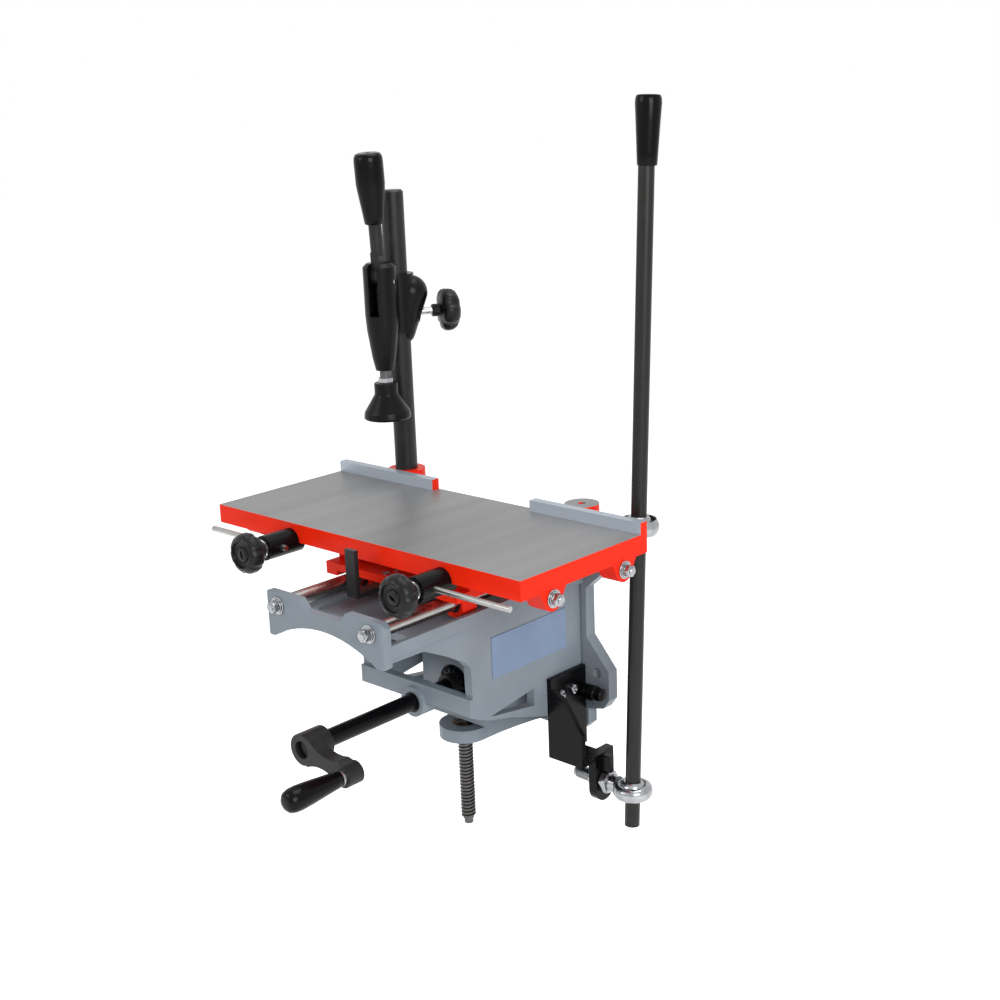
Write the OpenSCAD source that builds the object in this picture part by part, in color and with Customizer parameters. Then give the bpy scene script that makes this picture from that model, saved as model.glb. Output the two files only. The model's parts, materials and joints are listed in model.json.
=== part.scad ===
// Slot mortising attachment: a wall casting carries a knee that a crank raises,
// a cross carriage plunges on the knee's rods, and a table slides on the carriage.
// Origin: centre of the wall bolts on the back face. +X runs along the table towards
// the hand lever, +Y points into the machine that carries the part, +Z is up.

/* [Table] */
// Length of the table along its own travel
table_len = 440; // [400:5:480]
// Depth of the machined table top, front to back
table_depth = 175; // [165:1:185]
// Thickness of the table's top plate
table_t = 12; // [10:0.5:13]
// Height of the painted skirt, from the top face down
skirt_h = 20; // [18:0.5:23]
// Wall thickness of the skirt
skirt_t = 8; // [6:0.5:10]
// Height of the table top above the wall bolts' centre, at rest
table_top_h = 114; // [110:1:118]
// Distance from the wall face to the table's front edge, at rest
table_reach = 226; // [225:1:240]
// How far the table's middle lies left of the knee's middle, at rest
table_shift = 30; // [20:1:40]
// Thickness of the two fence ridges, front to back
ridge_t = 10; // [8:0.5:14]
// Height of the fence ridges above the table top
ridge_h = 12; // [8:0.5:16]
// Length of the left fence ridge
ridge_left_len = 152; // [120:1:160]
// Length of the right fence ridge
ridge_right_len = 145; // [120:1:160]
// Length along the rod of each lug that holds a table rod
lug_t = 22; // [18:1:30]
// Radius of a lug round its rod
lug_r = 12.5; // [11:0.5:13.5]

/* [Guide rods] */
// Diameter of all four guide rods
rod_d = 16; // [14:0.5:17]
// Depth of the front table rod behind the table's front edge
x_rod_inset = 44; // [40:1:48]
// Spacing of the two table rods, front to back
x_rod_span = 105; // [95:1:108]
// Drop of the table rods' axes below the table top
x_rod_drop = 28.5; // [27.5:0.5:29]
// Spacing of the two knee rods, left to right
y_rod_span = 132; // [124:1:134]
// Drop of the knee rods' axes below the table top
y_rod_drop = 56; // [55.5:0.5:58]
// Radial running clearance of every shaft in its hole
run_gap = 0.05; // [0.02:0.01:0.1]
// Head radius of the rods' end screws
rod_screw_r = 6.5; // [5.5:0.25:7]
// Radius of the washers under the rods' end screws
rod_washer_r = 9; // [8:0.25:10]
// Thickness of the washers under the rods' end screws
rod_washer_t = 2; // [1.5:0.25:3]
// Length of the end screws' heads
rod_head_t = 9; // [6:0.5:10]
// Radius of the end screws' shanks
rod_thread_r = 4; // [3:0.25:4.5]

/* [Carriage] */
// Depth of the carriage's front face behind the table's front edge, at rest
carriage_inset = 14; // [12:1:24]
// Depth of the carriage, front to back
carriage_depth = 148; // [144:1:152]
// Width of the carriage, left to right
carriage_w = 188; // [176:1:190]
// Thickness of the carriage's deck between the two rod levels
carriage_t = 8; // [6:0.5:8]
// Outer radius of the carriage's bearing bosses
boss_r = 13; // [12:0.25:13.25]
// Length of each bearing boss
boss_len = 30; // [24:1:36]
// Depth of the front bosses round the knee's rods behind the carriage's front face
boss_set = 22; // [18:1:26]
// Wall thickness of the bearing bushes
bush_t = 2.5; // [1.5:0.25:3]

/* [Stops] */
// Distance of the left stop block from the table's middle
stop_left_x = 101; // [90:1:110]
// Distance of the right stop block from the table's middle
stop_right_x = 120; // [110:1:135]
// Distance of the stop rods in front of the table's front edge
stop_lead = 22; // [20:0.5:26]
// Drop of the stop rods' axes below the table top
stop_drop = 19; // [16:0.5:20]
// Radius of the stop blocks
stop_block_r = 13; // [11.5:0.5:14]
// Length of a stop block in front of its rod
stop_block_nose = 14.5; // [10:0.5:16]
// Radius of the stop rods
stop_rod_r = 3; // [2.5:0.25:4]
// Length of the left stop rod
stop_left_len = 121; // [112:1:130]
// Length of the right stop rod
stop_right_len = 126; // [112:1:130]
// How far a stop rod's inner end stands past its block
stop_rod_inner = 6; // [4:0.5:10]
// Outer radius of the stop knobs, over the lobes
knob_r = 21; // [18:0.5:23]
// Thickness of the stop knobs' lobed heads
knob_t = 18; // [14:0.5:22]
// Number of lobes on each stop knob
knob_lobes = 7; // [5:1:9]
// Length of the stop knobs' necks
knob_neck = 12; // [8:0.5:16]
// Radius of the stop knobs' necks
knob_neck_r = 11; // [9:0.5:13]
// Radius of the stop knobs' studs
stud_r = 4; // [3:0.25:5]
// Width of the stop tab
tab_w = 14; // [12:1:18]
// Thickness of the stop tab
tab_t = 5; // [4:0.25:5.5]
// Height of the stop tab's end above the stop rods' axes
tab_up = 17; // [10:1:18]
// Offset of the stop tab left of the knee's middle
tab_shift = 12; // [8:1:14]

/* [Knee] */
// Half width over the knee's rails
rail_half = 86; // [85:0.5:90]
// Thickness of the upright rail walls
rail_t = 5.5; // [4:0.25:6]
// Height of the rails
rail_h = 13; // [12:0.5:14]
// Drop of the rails' tops below the table top
rail_drop = 66; // [65:0.5:67]
// Half width over the knee's side walls
knee_half = 80; // [76:0.5:82]
// Thickness of the knee's side walls
wall_t = 10; // [8:0.5:12]
// Distance of the crossbar's front face ahead of the table's front edge
crossbar_lead = 74; // [70:1:84]
// Thickness of the front crossbar
crossbar_t = 9; // [8:0.5:12]
// Drop of the crossbar's top edge below the table top
crossbar_drop = 43; // [42.5:0.25:44]
// Height of the crossbar at its two ends
crossbar_h = 46; // [40:1:48]
// Depth of the dip in the crossbar's top edge, which lets the stop tab pass
crossbar_dip = 10; // [9.5:0.25:11]
// Rise of the arch under the crossbar
crossbar_arch = 20; // [14:1:21]
// Drop of the knee's deck below the table top
deck_drop = 76; // [74:0.5:80]
// Thickness of the knee's deck
deck_t = 8; // [6:0.5:10]
// Height of the crank's axis above the knee's lowest face
crank_up = 38; // [36:1:40]
// Drop of the knee's lowest face below the table top
knee_drop = 216; // [214:0.5:218]
// Depth of the bar that carries the crank, behind the table's front edge
front_bar_in = 40; // [36:1:44]
// Thickness of that bar, front to back
front_bar_t = 10; // [8:0.5:14]
// Height of that bar
front_bar_h = 19; // [16:1:22]
// Radius of the crank boss on that bar
crank_boss_r = 16; // [13:0.5:17]
// Length of the crank boss
crank_boss_len = 24; // [20:1:30]
// Depth of the gear wall behind the table's front edge
gear_wall_in = 98; // [97:0.5:99]
// Thickness of the gear wall
gear_wall_t = 8; // [6:0.5:9]
// Half width of the gear housing
gear_half = 47; // [44:1:52]
// Radius of the round hole in the gear wall
gear_hole_r = 21; // [20:0.5:22]

/* [Height drive] */
// Depth of the spindle behind the table's front edge
spindle_in = 110; // [108:1:112]
// Radius of the spindle's thread
spindle_r = 8; // [7:0.25:8.5]
// Drop of the spindle's lower end below the table top
spindle_low_drop = 343; // [338:1:352]
// Radius of the spindle's journal in the knee
journal_r = 6; // [5:0.25:6.5]
// Outer radius of the brass spindle nut
nut_r = 13; // [11:0.5:15]
// Pitch radius of both bevel gears
bevel_r = 16; // [15:0.25:16.5]
// Face width of both bevel gears, along the axis
bevel_w = 6; // [5:0.5:8]
// Number of teeth of both bevel gears
bevel_teeth = 14; // [12:2:18]
// Radius of the crank shaft
crank_shaft_r = 9; // [8:0.25:9.5]
// Distance of the crank hub's front face ahead of the table's front edge
crank_lead = 111; // [108:1:122]
// Radius of the crank hub
crank_hub_r = 16; // [14:0.5:18]
// Length of the crank hub
crank_hub_len = 28; // [20:1:30]
// Length of the crank arm between its two axes
crank_arm_len = 61; // [54:1:70]
// Angle of the crank arm below the horizontal, at rest
crank_angle = 9; // [0:1:20]
// Length of the crank's turning grip
grip_len = 64; // [56:1:80]
// Largest radius of the crank's grip
grip_r = 12; // [10:0.5:14]

/* [Wall casting] */
// Thickness of the wall plate
plate_t = 14; // [12:0.5:16]
// Half width of the wall plate between its ears
plate_half = 87; // [84:1:90]
// Half width of the wall plate over its ears
ear_half = 116; // [114:0.5:120]
// Half width of the wall plate over its upper ears
upper_ear_half = 111; // [109:0.5:112]
// Spacing of the wall bolts, left to right
bolt_span_x = 200; // [196:1:202]
// Spacing of the wall bolts, top to bottom
bolt_span_z = 128; // [126:1:130]
// Radius of the wall bolt holes
bolt_hole_r = 5.5; // [4.5:0.25:6.5]
// Half width of the dovetail way at its root
way_half = 36; // [32:1:38]
// Height of the dovetail way above the wall plate's face
way_h = 14; // [12:0.5:15]
// How far each flank of the dovetail leans out over that height
way_flare = 8; // [5:0.5:9]
// Drop of the way's top end below the table top
way_top_drop = 75; // [70:1:80]
// Gap between the knee's back face and the wall plate's face
knee_gap = 2; // [1:0.25:3]
// Thickness of the gib strip
gib_t = 4; // [3:0.25:5]
// Gap between the knee's lowest face and the nut arm, at rest
nose_gap = 9; // [8:0.5:12]
// Thickness of the nut arm
nose_t = 14; // [12:0.5:16]
// Radius of the nut arm's round end
nose_r = 27; // [22:0.5:30]
// Length of the wall plate below the nut arm
plate_foot = 9; // [7:0.5:16]

/* [Hand lever] */
// Distance of the lever from the table's right end, at the table
lever_inset = 29; // [26:1:34]
// Distance of the lever behind the table's ridge, at the table
lever_back = 24; // [23.5:0.5:26]
// Drop of the upper eye's centre below the table top
eye_drop = 4; // [2:0.5:8]
// Height between the upper and the lower eye
eye_span = 284; // [280:1:290]
// Radius of the lever rod
lever_r = 8; // [7:0.25:8.5]
// Length of the lever rod above the lower eye
lever_len = 700; // [600:2:720]
// Length of the lever rod below the lower eye
lever_tail = 39; // [30:1:60]
// Lean of the lever towards +X, at rest
lever_lean_x = 0; // [0:0.1:1]
// Lean of the lever towards +Y, at rest
lever_lean_y = 3.2; // [3.1:0.1:3.8]
// Radius of the lever grip's thick end
lever_grip_r = 13; // [11:0.25:15]
// Length of the lever grip
lever_grip_len = 66; // [60:1:84]
// Outer radius of the rod ends' eyes
eye_r = 21; // [20:0.25:22]
// Thickness of the rod ends' eyes
eye_t = 15; // [12:0.5:17]
// Radius of the rod ends' balls
ball_r = 14.3; // [13.5:0.1:14.6]
// Width of the rod ends' balls
ball_w = 21; // [19:0.5:22]
// Thickness of the lower rod end's liner
liner_t = 1; // [0.8:0.1:1.5]
// Clearance of the upper ball in its open eye
open_gap = 3.5; // [3.3:0.1:3.8]
// Radius of the rod ends' threaded shanks
shank_r = 7; // [6:0.25:7.25]
// Length of the rod ends' shanks from the eye's centre
shank_len = 78; // [70:1:82]
// Thickness of the lever bracket's plates
bracket_t = 6; // [5:0.5:8]
// Radius of the bracket's ear round the rod end's shank
ear_r = 15; // [14:0.5:16]
// Width of the bracket, out from the knee's side
bracket_w = 46; // [42:1:56]
// Depth of the bracket, forward from the knee's back
bracket_depth = 56; // [52:1:60]

/* [Work clamp] */
// Distance of the post's socket from the table's left end
post_inset = 88; // [80:1:95]
// Distance of the spare boss from the table's right end
spare_inset = 93.5; // [88:0.5:100]
// Radius of the spare boss, which is not bored out
spare_r = 18; // [16:0.5:21]
// Distance of the socket and the spare boss behind the table top's back edge
post_back = 23; // [22.5:0.5:26]
// Radius of the clamp post
post_r = 12.5; // [11:0.25:13.5]
// Length of the clamp post
post_len = 340; // [300:2:360]
// Outer radius of the post's socket
socket_r = 21; // [18:0.5:22]
// Height of the socket and the spare boss below the table top
socket_low = 18; // [16:0.5:20]
// Angle of the clamp arm, turned from straight ahead towards +X
clamp_turn = 20; // [0:1:24]
// Distance of the clamp's plunger in front of the post
clamp_out = 39; // [39:0.5:44]
// Height of the clamp body's foot end above the table top
clamp_low = 132; // [126:1:140]
// Height of the clamp body
clamp_h = 116; // [112:1:124]
// Radius of the clamp body
clamp_r = 18; // [17:0.25:18.5]
// Width of the lever slot in the clamp body
slot_w = 11; // [10:0.25:12]
// Height of the clamp lever's pivot above the clamp body's foot end
pivot_up = 96; // [92:1:98]
// Radius of the clamp's plunger
plunger_r = 6; // [5:0.25:7]
// Radius of the eccentric on the clamp lever
cam_r = 10; // [9:0.25:11]
// Throw of the eccentric
cam_throw = 6; // [4:0.25:6]
// Radius of the clamp lever's pivot pin
pin_r = 3; // [2.5:0.25:3.25]
// Lean of the clamp lever, at rest
clamp_lean = 4; // [3:1:10]
// Length of the clamp lever from its pivot to the grip's end
clamp_lever_len = 136; // [120:1:140]
// Radius of the clamp lever's rod
clamp_rod_r = 7; // [6:0.25:7.5]
// Length of the clamp lever's grip
clamp_grip_len = 74; // [64:1:80]
// Largest radius of the clamp lever's grip
clamp_grip_r = 15.5; // [13:0.25:16]
// Radius of the clamp foot's face
foot_r = 26; // [22:0.5:28]
// Height of the clamp foot
foot_h = 40; // [36:0.5:44]
// Height of the clamp foot's face above the table top, at rest
foot_up = 78; // [70:1:84]
// Height of the clamp sleeve on the post
sleeve_h = 64; // [56:1:66]
// Height of the clamp sleeve's middle above the table top
sleeve_up = 200; // [196:1:204]
// Outer radius of the clamp sleeve
sleeve_r = 19; // [17.5:0.25:20]
// Radius of the round lug on the sleeve's back
lobe_r = 19; // [16:0.5:20]
// Angle of the sleeve's clamp knob, from the arm's own +X
clamp_knob_turn = 40; // [35:1:60]
// Outer radius of the sleeve's clamp knob
clamp_knob_r = 24; // [20:0.5:24.5]
// Thickness of the sleeve's clamp knob
clamp_knob_t = 23; // [18:0.5:25]

/* [Hidden] */
$fn = 64;

eps = 0.01;
end_gap = 0.3;
rod_screw_len = 14;
rod_r = rod_d / 2;
function drop(d) = table_top_h - d;
function back(d) = d - table_reach;

table_x = -table_shift;
table_back = table_depth + ridge_t;
x_rod_y = [back(x_rod_inset), back(x_rod_inset + x_rod_span)];
x_rod_z = drop(x_rod_drop);
y_rod_x = y_rod_span / 2;
y_rod_z = drop(y_rod_drop);
lug_in = table_len / 2 - lug_t;
rod_seat = lug_t - 7;

bush_bore = rod_r + run_gap;
bush_r = rod_r + bush_t;
carriage_front = back(carriage_inset);
carriage_back = carriage_front + carriage_depth;
carriage_top = (x_rod_z - rod_r + y_rod_z + rod_r) / 2 + carriage_t / 2;

stop_y = back(-stop_lead);
stop_z = drop(stop_drop);
stop_rest = stop_y - stop_block_nose;
y_boss_y = [carriage_front + boss_set, carriage_back - boss_len];
y_boss_len = [20, boss_len];
y_boss_r = [boss_r + 2.5, boss_r];
boss_side = rail_half - rail_t - 1;
corner_r = 6;
lip_w = 16;
lip_t = 5;
tab_foot_z = carriage_top - carriage_t - tab_t;
tab_screw_y = [carriage_front + 8, carriage_front + 24];
tab_screw_r = 2.5;
knob_dish = 6;
stud_flange = 3.3;

plate_y = -plate_t;
knee_back = plate_y - knee_gap;
front_bar_y = back(front_bar_in);
crossbar_y = back(-crossbar_lead);
knee_low = drop(knee_drop);
crank_z = knee_low + crank_up;
shelf_t = 8;
gear_wall_y = back(gear_wall_in);
spindle_y = back(spindle_in);
spindle_low = drop(spindle_low_drop);
nose_top = knee_low - nose_gap;
plate_low = nose_top - nose_t - plate_foot;
way_top = drop(way_top_drop);

crank_front = back(-crank_lead);
crank_bush_t = 2;
crank_web_t = 15;
crank_eye_r = 11;
crank_eye_t = 18;
crank_eye_y = crank_front - 2;
boss_front = front_bar_y - 4;
bush_flange_t = 2;
spindle_bush_t = 3;
axle_r = 5;
axle_collar = 4;
lock_y = knee_back - 8;
lock_head_r = 8.5;
lock_head_len = 22;
lock_z = knee_low + 19;
bracket_screw_y = [knee_back - 42, knee_back - 22];
bracket_screw_z = knee_low + 25;
bracket_screw_r = 3;
label_y = gear_wall_y - 25;
label_len = 113;
label_z = knee_low + 71;
label_h = 44;

lever_x = table_x + table_len / 2 - lever_inset;
lever_y = back(table_back + lever_back);
eye_z = drop(eye_drop);
ball_x = lever_x - eye_span * tan(lever_lean_x);
ball_y = lever_y - eye_span * tan(lever_lean_y);
ball_z = eye_z - eye_span;
ear_in = ball_x - shank_len + 30;
ear_t = 10;
ear_z = ball_z - 8;
ear_mid = ball_y + 1;
bar_y = ball_y - 7;
bar_z = ball_z + 14.5;
bar_h = 18.5;
rod_nut_t = 10;

post_y = back(table_depth + post_back);
post_left = table_x - table_len / 2 + post_inset;
spare_x = table_x + table_len / 2 - spare_inset;
spare_hole_r = 4;
sleeve_z = table_top_h + sleeve_up;
clamp_z = table_top_h + clamp_low;
pivot_z = clamp_z + pivot_up;
foot_z = table_top_h + foot_up;
foot_floor = 12;
clamp_boss_len = 10;
clamp_knob_z = sleeve_z - 12;
clamp_knob_out = 30;
plunger_top = pivot_z + cam_throw * cos(clamp_lean) - cam_r - end_gap;

// A solid whose outline is drawn in Y and Z, from x0 over length w
module side_slab(x0, w) {
    translate([x0, 0, 0]) rotate([90, 0, 90]) linear_extrude(w) children();
}

// A solid whose outline is drawn in X and Z, from y0 over length w towards +Y
module front_slab(y0, w) {
    translate([0, y0 + w, 0]) rotate([90, 0, 0]) linear_extrude(w) children();
}

module rod_x(r, x0, x1) {
    translate([x0, 0, 0]) rotate([0, 90, 0]) cylinder(r = r, h = x1 - x0);
}

module rod_y(r, y0, y1) {
    translate([0, y0, 0]) rotate([-90, 0, 0]) cylinder(r = r, h = y1 - y0);
}

// A box given by its two corners
module span(a, b) {
    translate(a) cube(b - a);
}

module both_sides() {
    children();
    mirror([1, 0, 0]) children();
}

// A rod's end screw along +X: shank, washer and hexagon head with a socket
module end_screw() {
    difference() {
        union() {
            rod_x(rod_thread_r, -rod_screw_len, eps);
            rod_x(rod_washer_r, 0, rod_washer_t);
            rod_x(rod_screw_r, rod_washer_t - eps, rod_washer_t + rod_head_t);
        }
        rod_x(rod_screw_r / 2, rod_washer_t + rod_head_t - 4, rod_washer_t + rod_head_t + 1);
    }
}

module table_lug(y) {
    union() {
        translate([y, x_rod_z]) circle(lug_r);
        polygon([[y - lug_r - 9, drop(skirt_h) + 2], [y + lug_r + 9, drop(skirt_h) + 2],
                 [y + lug_r + 6, drop(skirt_h)], [y + lug_r * sin(40), x_rod_z - lug_r * cos(40)],
                 [y - lug_r * sin(60), x_rod_z - lug_r * cos(60)], [y - lug_r - 6, drop(skirt_h)]]);
    }
}

module table() {
    x0 = table_x - table_len / 2;
    x1 = table_x + table_len / 2;
    color("red") difference() {
        union() {
            span([x0, back(0), drop(table_t)], [x1, back(table_back), drop(0)]);
            difference() {
                span([x0, back(0), drop(skirt_h)], [x1, back(table_back), drop(table_t) + eps]);
                span([x0 + skirt_t, back(skirt_t), drop(skirt_h) - 1],
                     [x1 - skirt_t, back(table_back - skirt_t), drop(table_t)]);
            }
            for (s = [-1, 1], y = x_rod_y)
                side_slab(table_x + s * (table_len / 2 - lug_t / 2) - lug_t / 2, lug_t) table_lug(y);
            for (s = [-1, 1], y = x_rod_y)
                span([table_x + s * (table_len / 2 - lug_t / 2) - lug_t / 2, y - lug_r - 9, drop(skirt_h)],
                     [table_x + s * (table_len / 2 - lug_t / 2) + lug_t / 2, y + lug_r + 9,
                      drop(table_t) + eps]);
            span([x0, back(table_depth), drop(eps)],
                 [x0 + ridge_left_len, back(table_back), drop(-ridge_h)]);
            span([x1 - ridge_right_len, back(table_depth), drop(eps)],
                 [x1, back(table_back), drop(-ridge_h)]);
            translate([post_left, post_y, drop(socket_low)])
                cylinder(r = socket_r, h = socket_low + ridge_h);
            translate([spare_x, post_y, drop(socket_low)])
                cylinder(r = spare_r, h = socket_low + ridge_h);
        }
        for (s = [-1, 1], y = x_rod_y) translate([0, y, x_rod_z]) {
            rod_x(rod_r + eps, table_x - lug_in - rod_seat, table_x + lug_in + rod_seat);
            rod_x(rod_thread_r + eps, x0 - 1, x1 + 1);
        }
        translate([post_left, post_y, drop(socket_low) - 1])
            cylinder(r = post_r + run_gap, h = socket_low + ridge_h + 2);
        translate([spare_x, post_y, drop(-ridge_h) - 12]) cylinder(r = spare_hole_r, h = 13);
        translate([lever_x, back(table_depth + 1), eye_z]) rod_y(shank_r + eps, 0, ridge_t);
        for (x = [-stop_left_x, stop_right_x]) translate([table_x + x, 0, stop_z])
            rod_y(stop_block_r + eps, back(-1), back(skirt_t + 1));
        // Tapped hole for the post's lock screw
        translate([post_left, post_y, drop(socket_low / 2)]) rod_x(stud_r + eps, -socket_r - 8, 0);
    }
}

// Fixed wall casting

module ear_outline() {
    low = -bolt_span_z / 2;
    polygon([[0, -low + 12], [upper_ear_half - 6, -low + 12], [upper_ear_half, -low + 6],
             [upper_ear_half, -low - 14], [plate_half, -low - 36], [plate_half, low + 38],
             [ear_half, low + 4], [ear_half, low - 28], [ear_half - 8, low - 39], [plate_half, low - 44],
             [plate_half, plate_low + 8], [plate_half - 8, plate_low], [0, plate_low]]);
}

// Half width of the dovetail at a height above the plate's face
function way_flank(h) = way_half + way_flare * h / way_h;

// Plan of the dovetail: grow widens each flank, deep lengthens it, extra moves the right flank out
module way_plan(grow, deep, extra) {
    root = way_flank(-eps) + grow;
    tip = way_flank(way_h + deep) + grow;
    polygon([[-root, plate_y + eps], [-tip, plate_y - way_h - deep],
             [tip + extra, plate_y - way_h - deep], [root + extra, plate_y + eps]]);
}

module nose_plan() {
    union() {
        translate([0, spindle_y]) circle(nose_r);
        for (s = [-1, 1])
            polygon([[0, spindle_y], [s * nose_r, spindle_y], [s * (nose_r + 1), spindle_y + 26],
                     [s * (nose_r + 4), spindle_y + 50], [s * (nose_r + 9), plate_y - 26],
                     [s * (nose_r + 19), plate_y - 8], [s * (nose_r + 26), plate_y + eps],
                     [0, plate_y + eps]]);
    }
}

module wall_plate() {
    color("lightslategray") difference() {
        union() {
            front_slab(plate_y, plate_t) both_sides() ear_outline();
            translate([0, 0, plate_low + 4]) linear_extrude(way_top - plate_low - 4) way_plan(0, 0, 0);
            translate([0, 0, nose_top - nose_t]) linear_extrude(nose_t) nose_plan();
        }
        for (x = [-1, 1], z = [-1, 1])
            translate([x * bolt_span_x / 2, 0, z * bolt_span_z / 2]) rod_y(bolt_hole_r, plate_y - 1, 1);
        translate([0, spindle_y, nose_top - nose_t - 1]) cylinder(r = nut_r, h = nose_t + 2);
    }
}

module spindle_nut() {
    color("goldenrod") translate([0, spindle_y, nose_top - nose_t]) difference() {
        cylinder(r = nut_r, h = nose_t);
        translate([0, 0, -1]) cylinder(r = spindle_r + run_gap, h = nose_t + 2);
    }
}

// Knee

module knee_side() {
    low = rail_drop + rail_h;
    polygon([[crossbar_y + eps, drop(low - 1)], [crossbar_y + eps, drop(low + 7)],
             [back(-19), drop(low + 8)], [back(front_bar_in - 28), drop(low + 23)],
             [back(front_bar_in - 4), drop(low + 37)], [back(front_bar_in + 3), drop(low + 45)],
             [back(front_bar_in + 4), crank_z + 2 + front_bar_h], [front_bar_y, crank_z + 2 + front_bar_h],
             [front_bar_y, crank_z + 2], [back(front_bar_in + 12), knee_low + 34],
             [back(front_bar_in + 28), knee_low + 28], [gear_wall_y, knee_low + 21],
             [gear_wall_y + 37, knee_low + 9], [gear_wall_y + 54, knee_low + 4],
             [knee_back, knee_low], [knee_back, drop(low - 1)]]);
}

module knee_window() {
    polygon([[gear_wall_y - 30, knee_low + 32], [gear_wall_y + 36, knee_low + 41],
             [gear_wall_y + 36, knee_low + 22]]);
}

module crossbar_outline() {
    half = rail_half;
    top = drop(crossbar_drop);
    arch_z = drop(crossbar_drop + crossbar_h) + crossbar_arch;
    arch_r = (pow(half - 12, 2) + pow(crossbar_arch, 2)) / (2 * crossbar_arch);
    difference() {
        polygon([[-half, top - 5], [-half + 5, top], [-34, top], [-25, top - crossbar_dip],
                 [25, top - crossbar_dip], [34, top], [half - 5, top], [half, top - 5],
                 [half, top - crossbar_h + 3], [half - 3, top - crossbar_h],
                 [3 - half, top - crossbar_h], [-half, top - crossbar_h + 3]]);
        translate([0, arch_z - arch_r]) circle(arch_r, $fn = 160);
    }
}

module knee_casting() {
    rail_low = drop(rail_drop + rail_h);
    block_front = knee_back - 40;
    color("slategray") difference() {
        union() {
            front_slab(crossbar_y, crossbar_t) crossbar_outline();
            both_sides() {
                span([rail_half - rail_t, crossbar_y + eps, rail_low],
                     [rail_half, knee_back, drop(rail_drop)]);
                span([knee_half - wall_t, crossbar_y + eps, rail_low],
                     [rail_half, knee_back, rail_low + 7]);
                side_slab(knee_half - wall_t, wall_t) difference() { knee_side(); knee_window(); }
                span([gear_half - gear_wall_t, gear_wall_y, knee_low],
                     [gear_half, block_front + eps, drop(deck_drop)]);
                span([rail_half - 40, knee_back - 12, rail_low],
                     [rail_half, knee_back, drop(crossbar_drop)]);
            }
            span([-knee_half, back(-20), drop(deck_drop + deck_t)],
                 [knee_half, knee_back, drop(deck_drop)]);
            span([-knee_half, front_bar_y, crank_z + 2],
                 [knee_half, front_bar_y + front_bar_t, crank_z + 2 + front_bar_h]);
            translate([0, 0, crank_z]) rod_y(crank_boss_r, boss_front, boss_front + crank_boss_len);
            span([-gear_half, gear_wall_y, knee_low],
                 [gear_half, gear_wall_y + gear_wall_t, drop(deck_drop)]);
            span([-gear_half, gear_wall_y, knee_low],
                 [gear_half, block_front + eps, knee_low + shelf_t]);
            span([-62, block_front, knee_low], [62, knee_back, drop(deck_drop)]);
            span([-knee_half, knee_back - 10, knee_low], [knee_half, knee_back, drop(deck_drop)]);
        }
        both_sides() translate([rail_half - corner_r, crossbar_y + corner_r, crank_z])
            linear_extrude(drop(0) - crank_z) difference() {
                translate([0, -corner_r - 1]) square(corner_r + 1);
                circle(corner_r);
            }
        for (s = [-1, 1]) translate([s * y_rod_x, 0, y_rod_z])
            rod_y(rod_r + eps, crossbar_y - 1, knee_back - 3);
        translate([0, 0, crank_z]) {
            rod_y(crank_shaft_r + crank_bush_t + eps, boss_front - 1, boss_front + crank_boss_len + 1);
            rod_y(gear_hole_r, gear_wall_y - 1, gear_wall_y + gear_wall_t + 1);
        }
        translate([0, spindle_y, knee_low + shelf_t])
            cylinder(r = bevel_r + 4, h = crank_z - knee_low - shelf_t);
        translate([0, spindle_y, knee_low - 1])
            cylinder(r = journal_r + spindle_bush_t + eps, h = shelf_t + 2);
        translate([0, 0, knee_low - 1]) linear_extrude(way_top + 15 - knee_low + 1)
            way_plan(run_gap, 0.3, gib_t);
        translate([0, lock_y, lock_z]) rod_x(stud_r + run_gap, way_half + 2, knee_half + 1);
        for (y = bracket_screw_y) translate([0, y, bracket_screw_z])
            rod_x(bracket_screw_r + eps, knee_half - wall_t - 1, knee_half + 1);
    }
}

module gib_strip() {
    color("darkgray") translate([0, 0, knee_low + 1]) linear_extrude(drop(deck_drop) - knee_low - 2)
        translate([run_gap, plate_y])
            polygon([[way_flank(end_gap), -end_gap], [way_flank(way_h), -way_h],
                     [way_flank(way_h) + gib_t - eps, -way_h],
                     [way_flank(end_gap) + gib_t - eps, -end_gap]]);
}

module height_lock() {
    head_x = knee_half + bracket_t + end_gap;
    color("dimgray") translate([0, lock_y, lock_z]) {
        rod_x(stud_r, way_half + way_flare + gib_t + 1, head_x + eps);
        rod_x(lock_head_r, head_x, head_x + lock_head_len);
        rod_x(lock_head_r - 3, head_x + lock_head_len - eps, head_x + lock_head_len + 10);
    }
}

module y_rod(s) {
    color("silver") translate([s * y_rod_x, 0, y_rod_z]) difference() {
        rod_y(rod_r, crossbar_y + 1, knee_back - 3 - eps);
        rod_y(rod_thread_r + eps, crossbar_y, crossbar_y + rod_screw_len + 2);
    }
}

module y_rod_left() { y_rod(-1); }
module y_rod_right() { y_rod(1); }

module y_rod_screws() {
    color("gainsboro") for (s = [-1, 1])
        translate([s * y_rod_x, crossbar_y, y_rod_z]) rotate([0, 0, -90]) end_screw();
}

module crank_bush() {
    color("peru") translate([0, 0, crank_z]) difference() {
        rod_y(crank_shaft_r + crank_bush_t, boss_front, boss_front + crank_boss_len);
        rod_y(crank_shaft_r + run_gap, boss_front - 1, boss_front + crank_boss_len + 1);
    }
}

module spindle_bush() {
    color("peru") translate([0, spindle_y, knee_low]) difference() {
        union() {
            cylinder(r = journal_r + spindle_bush_t, h = shelf_t + eps);
            translate([0, 0, shelf_t]) cylinder(r = journal_r + 2 * spindle_bush_t, h = bush_flange_t);
        }
        translate([0, 0, -1]) cylinder(r = journal_r + run_gap, h = shelf_t + bush_flange_t + 2);
    }
}

module label_plate() {
    color("lightsteelblue") span([knee_half, label_y, label_z],
                                 [knee_half + 1, label_y + label_len, label_z + label_h]);
}

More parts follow.
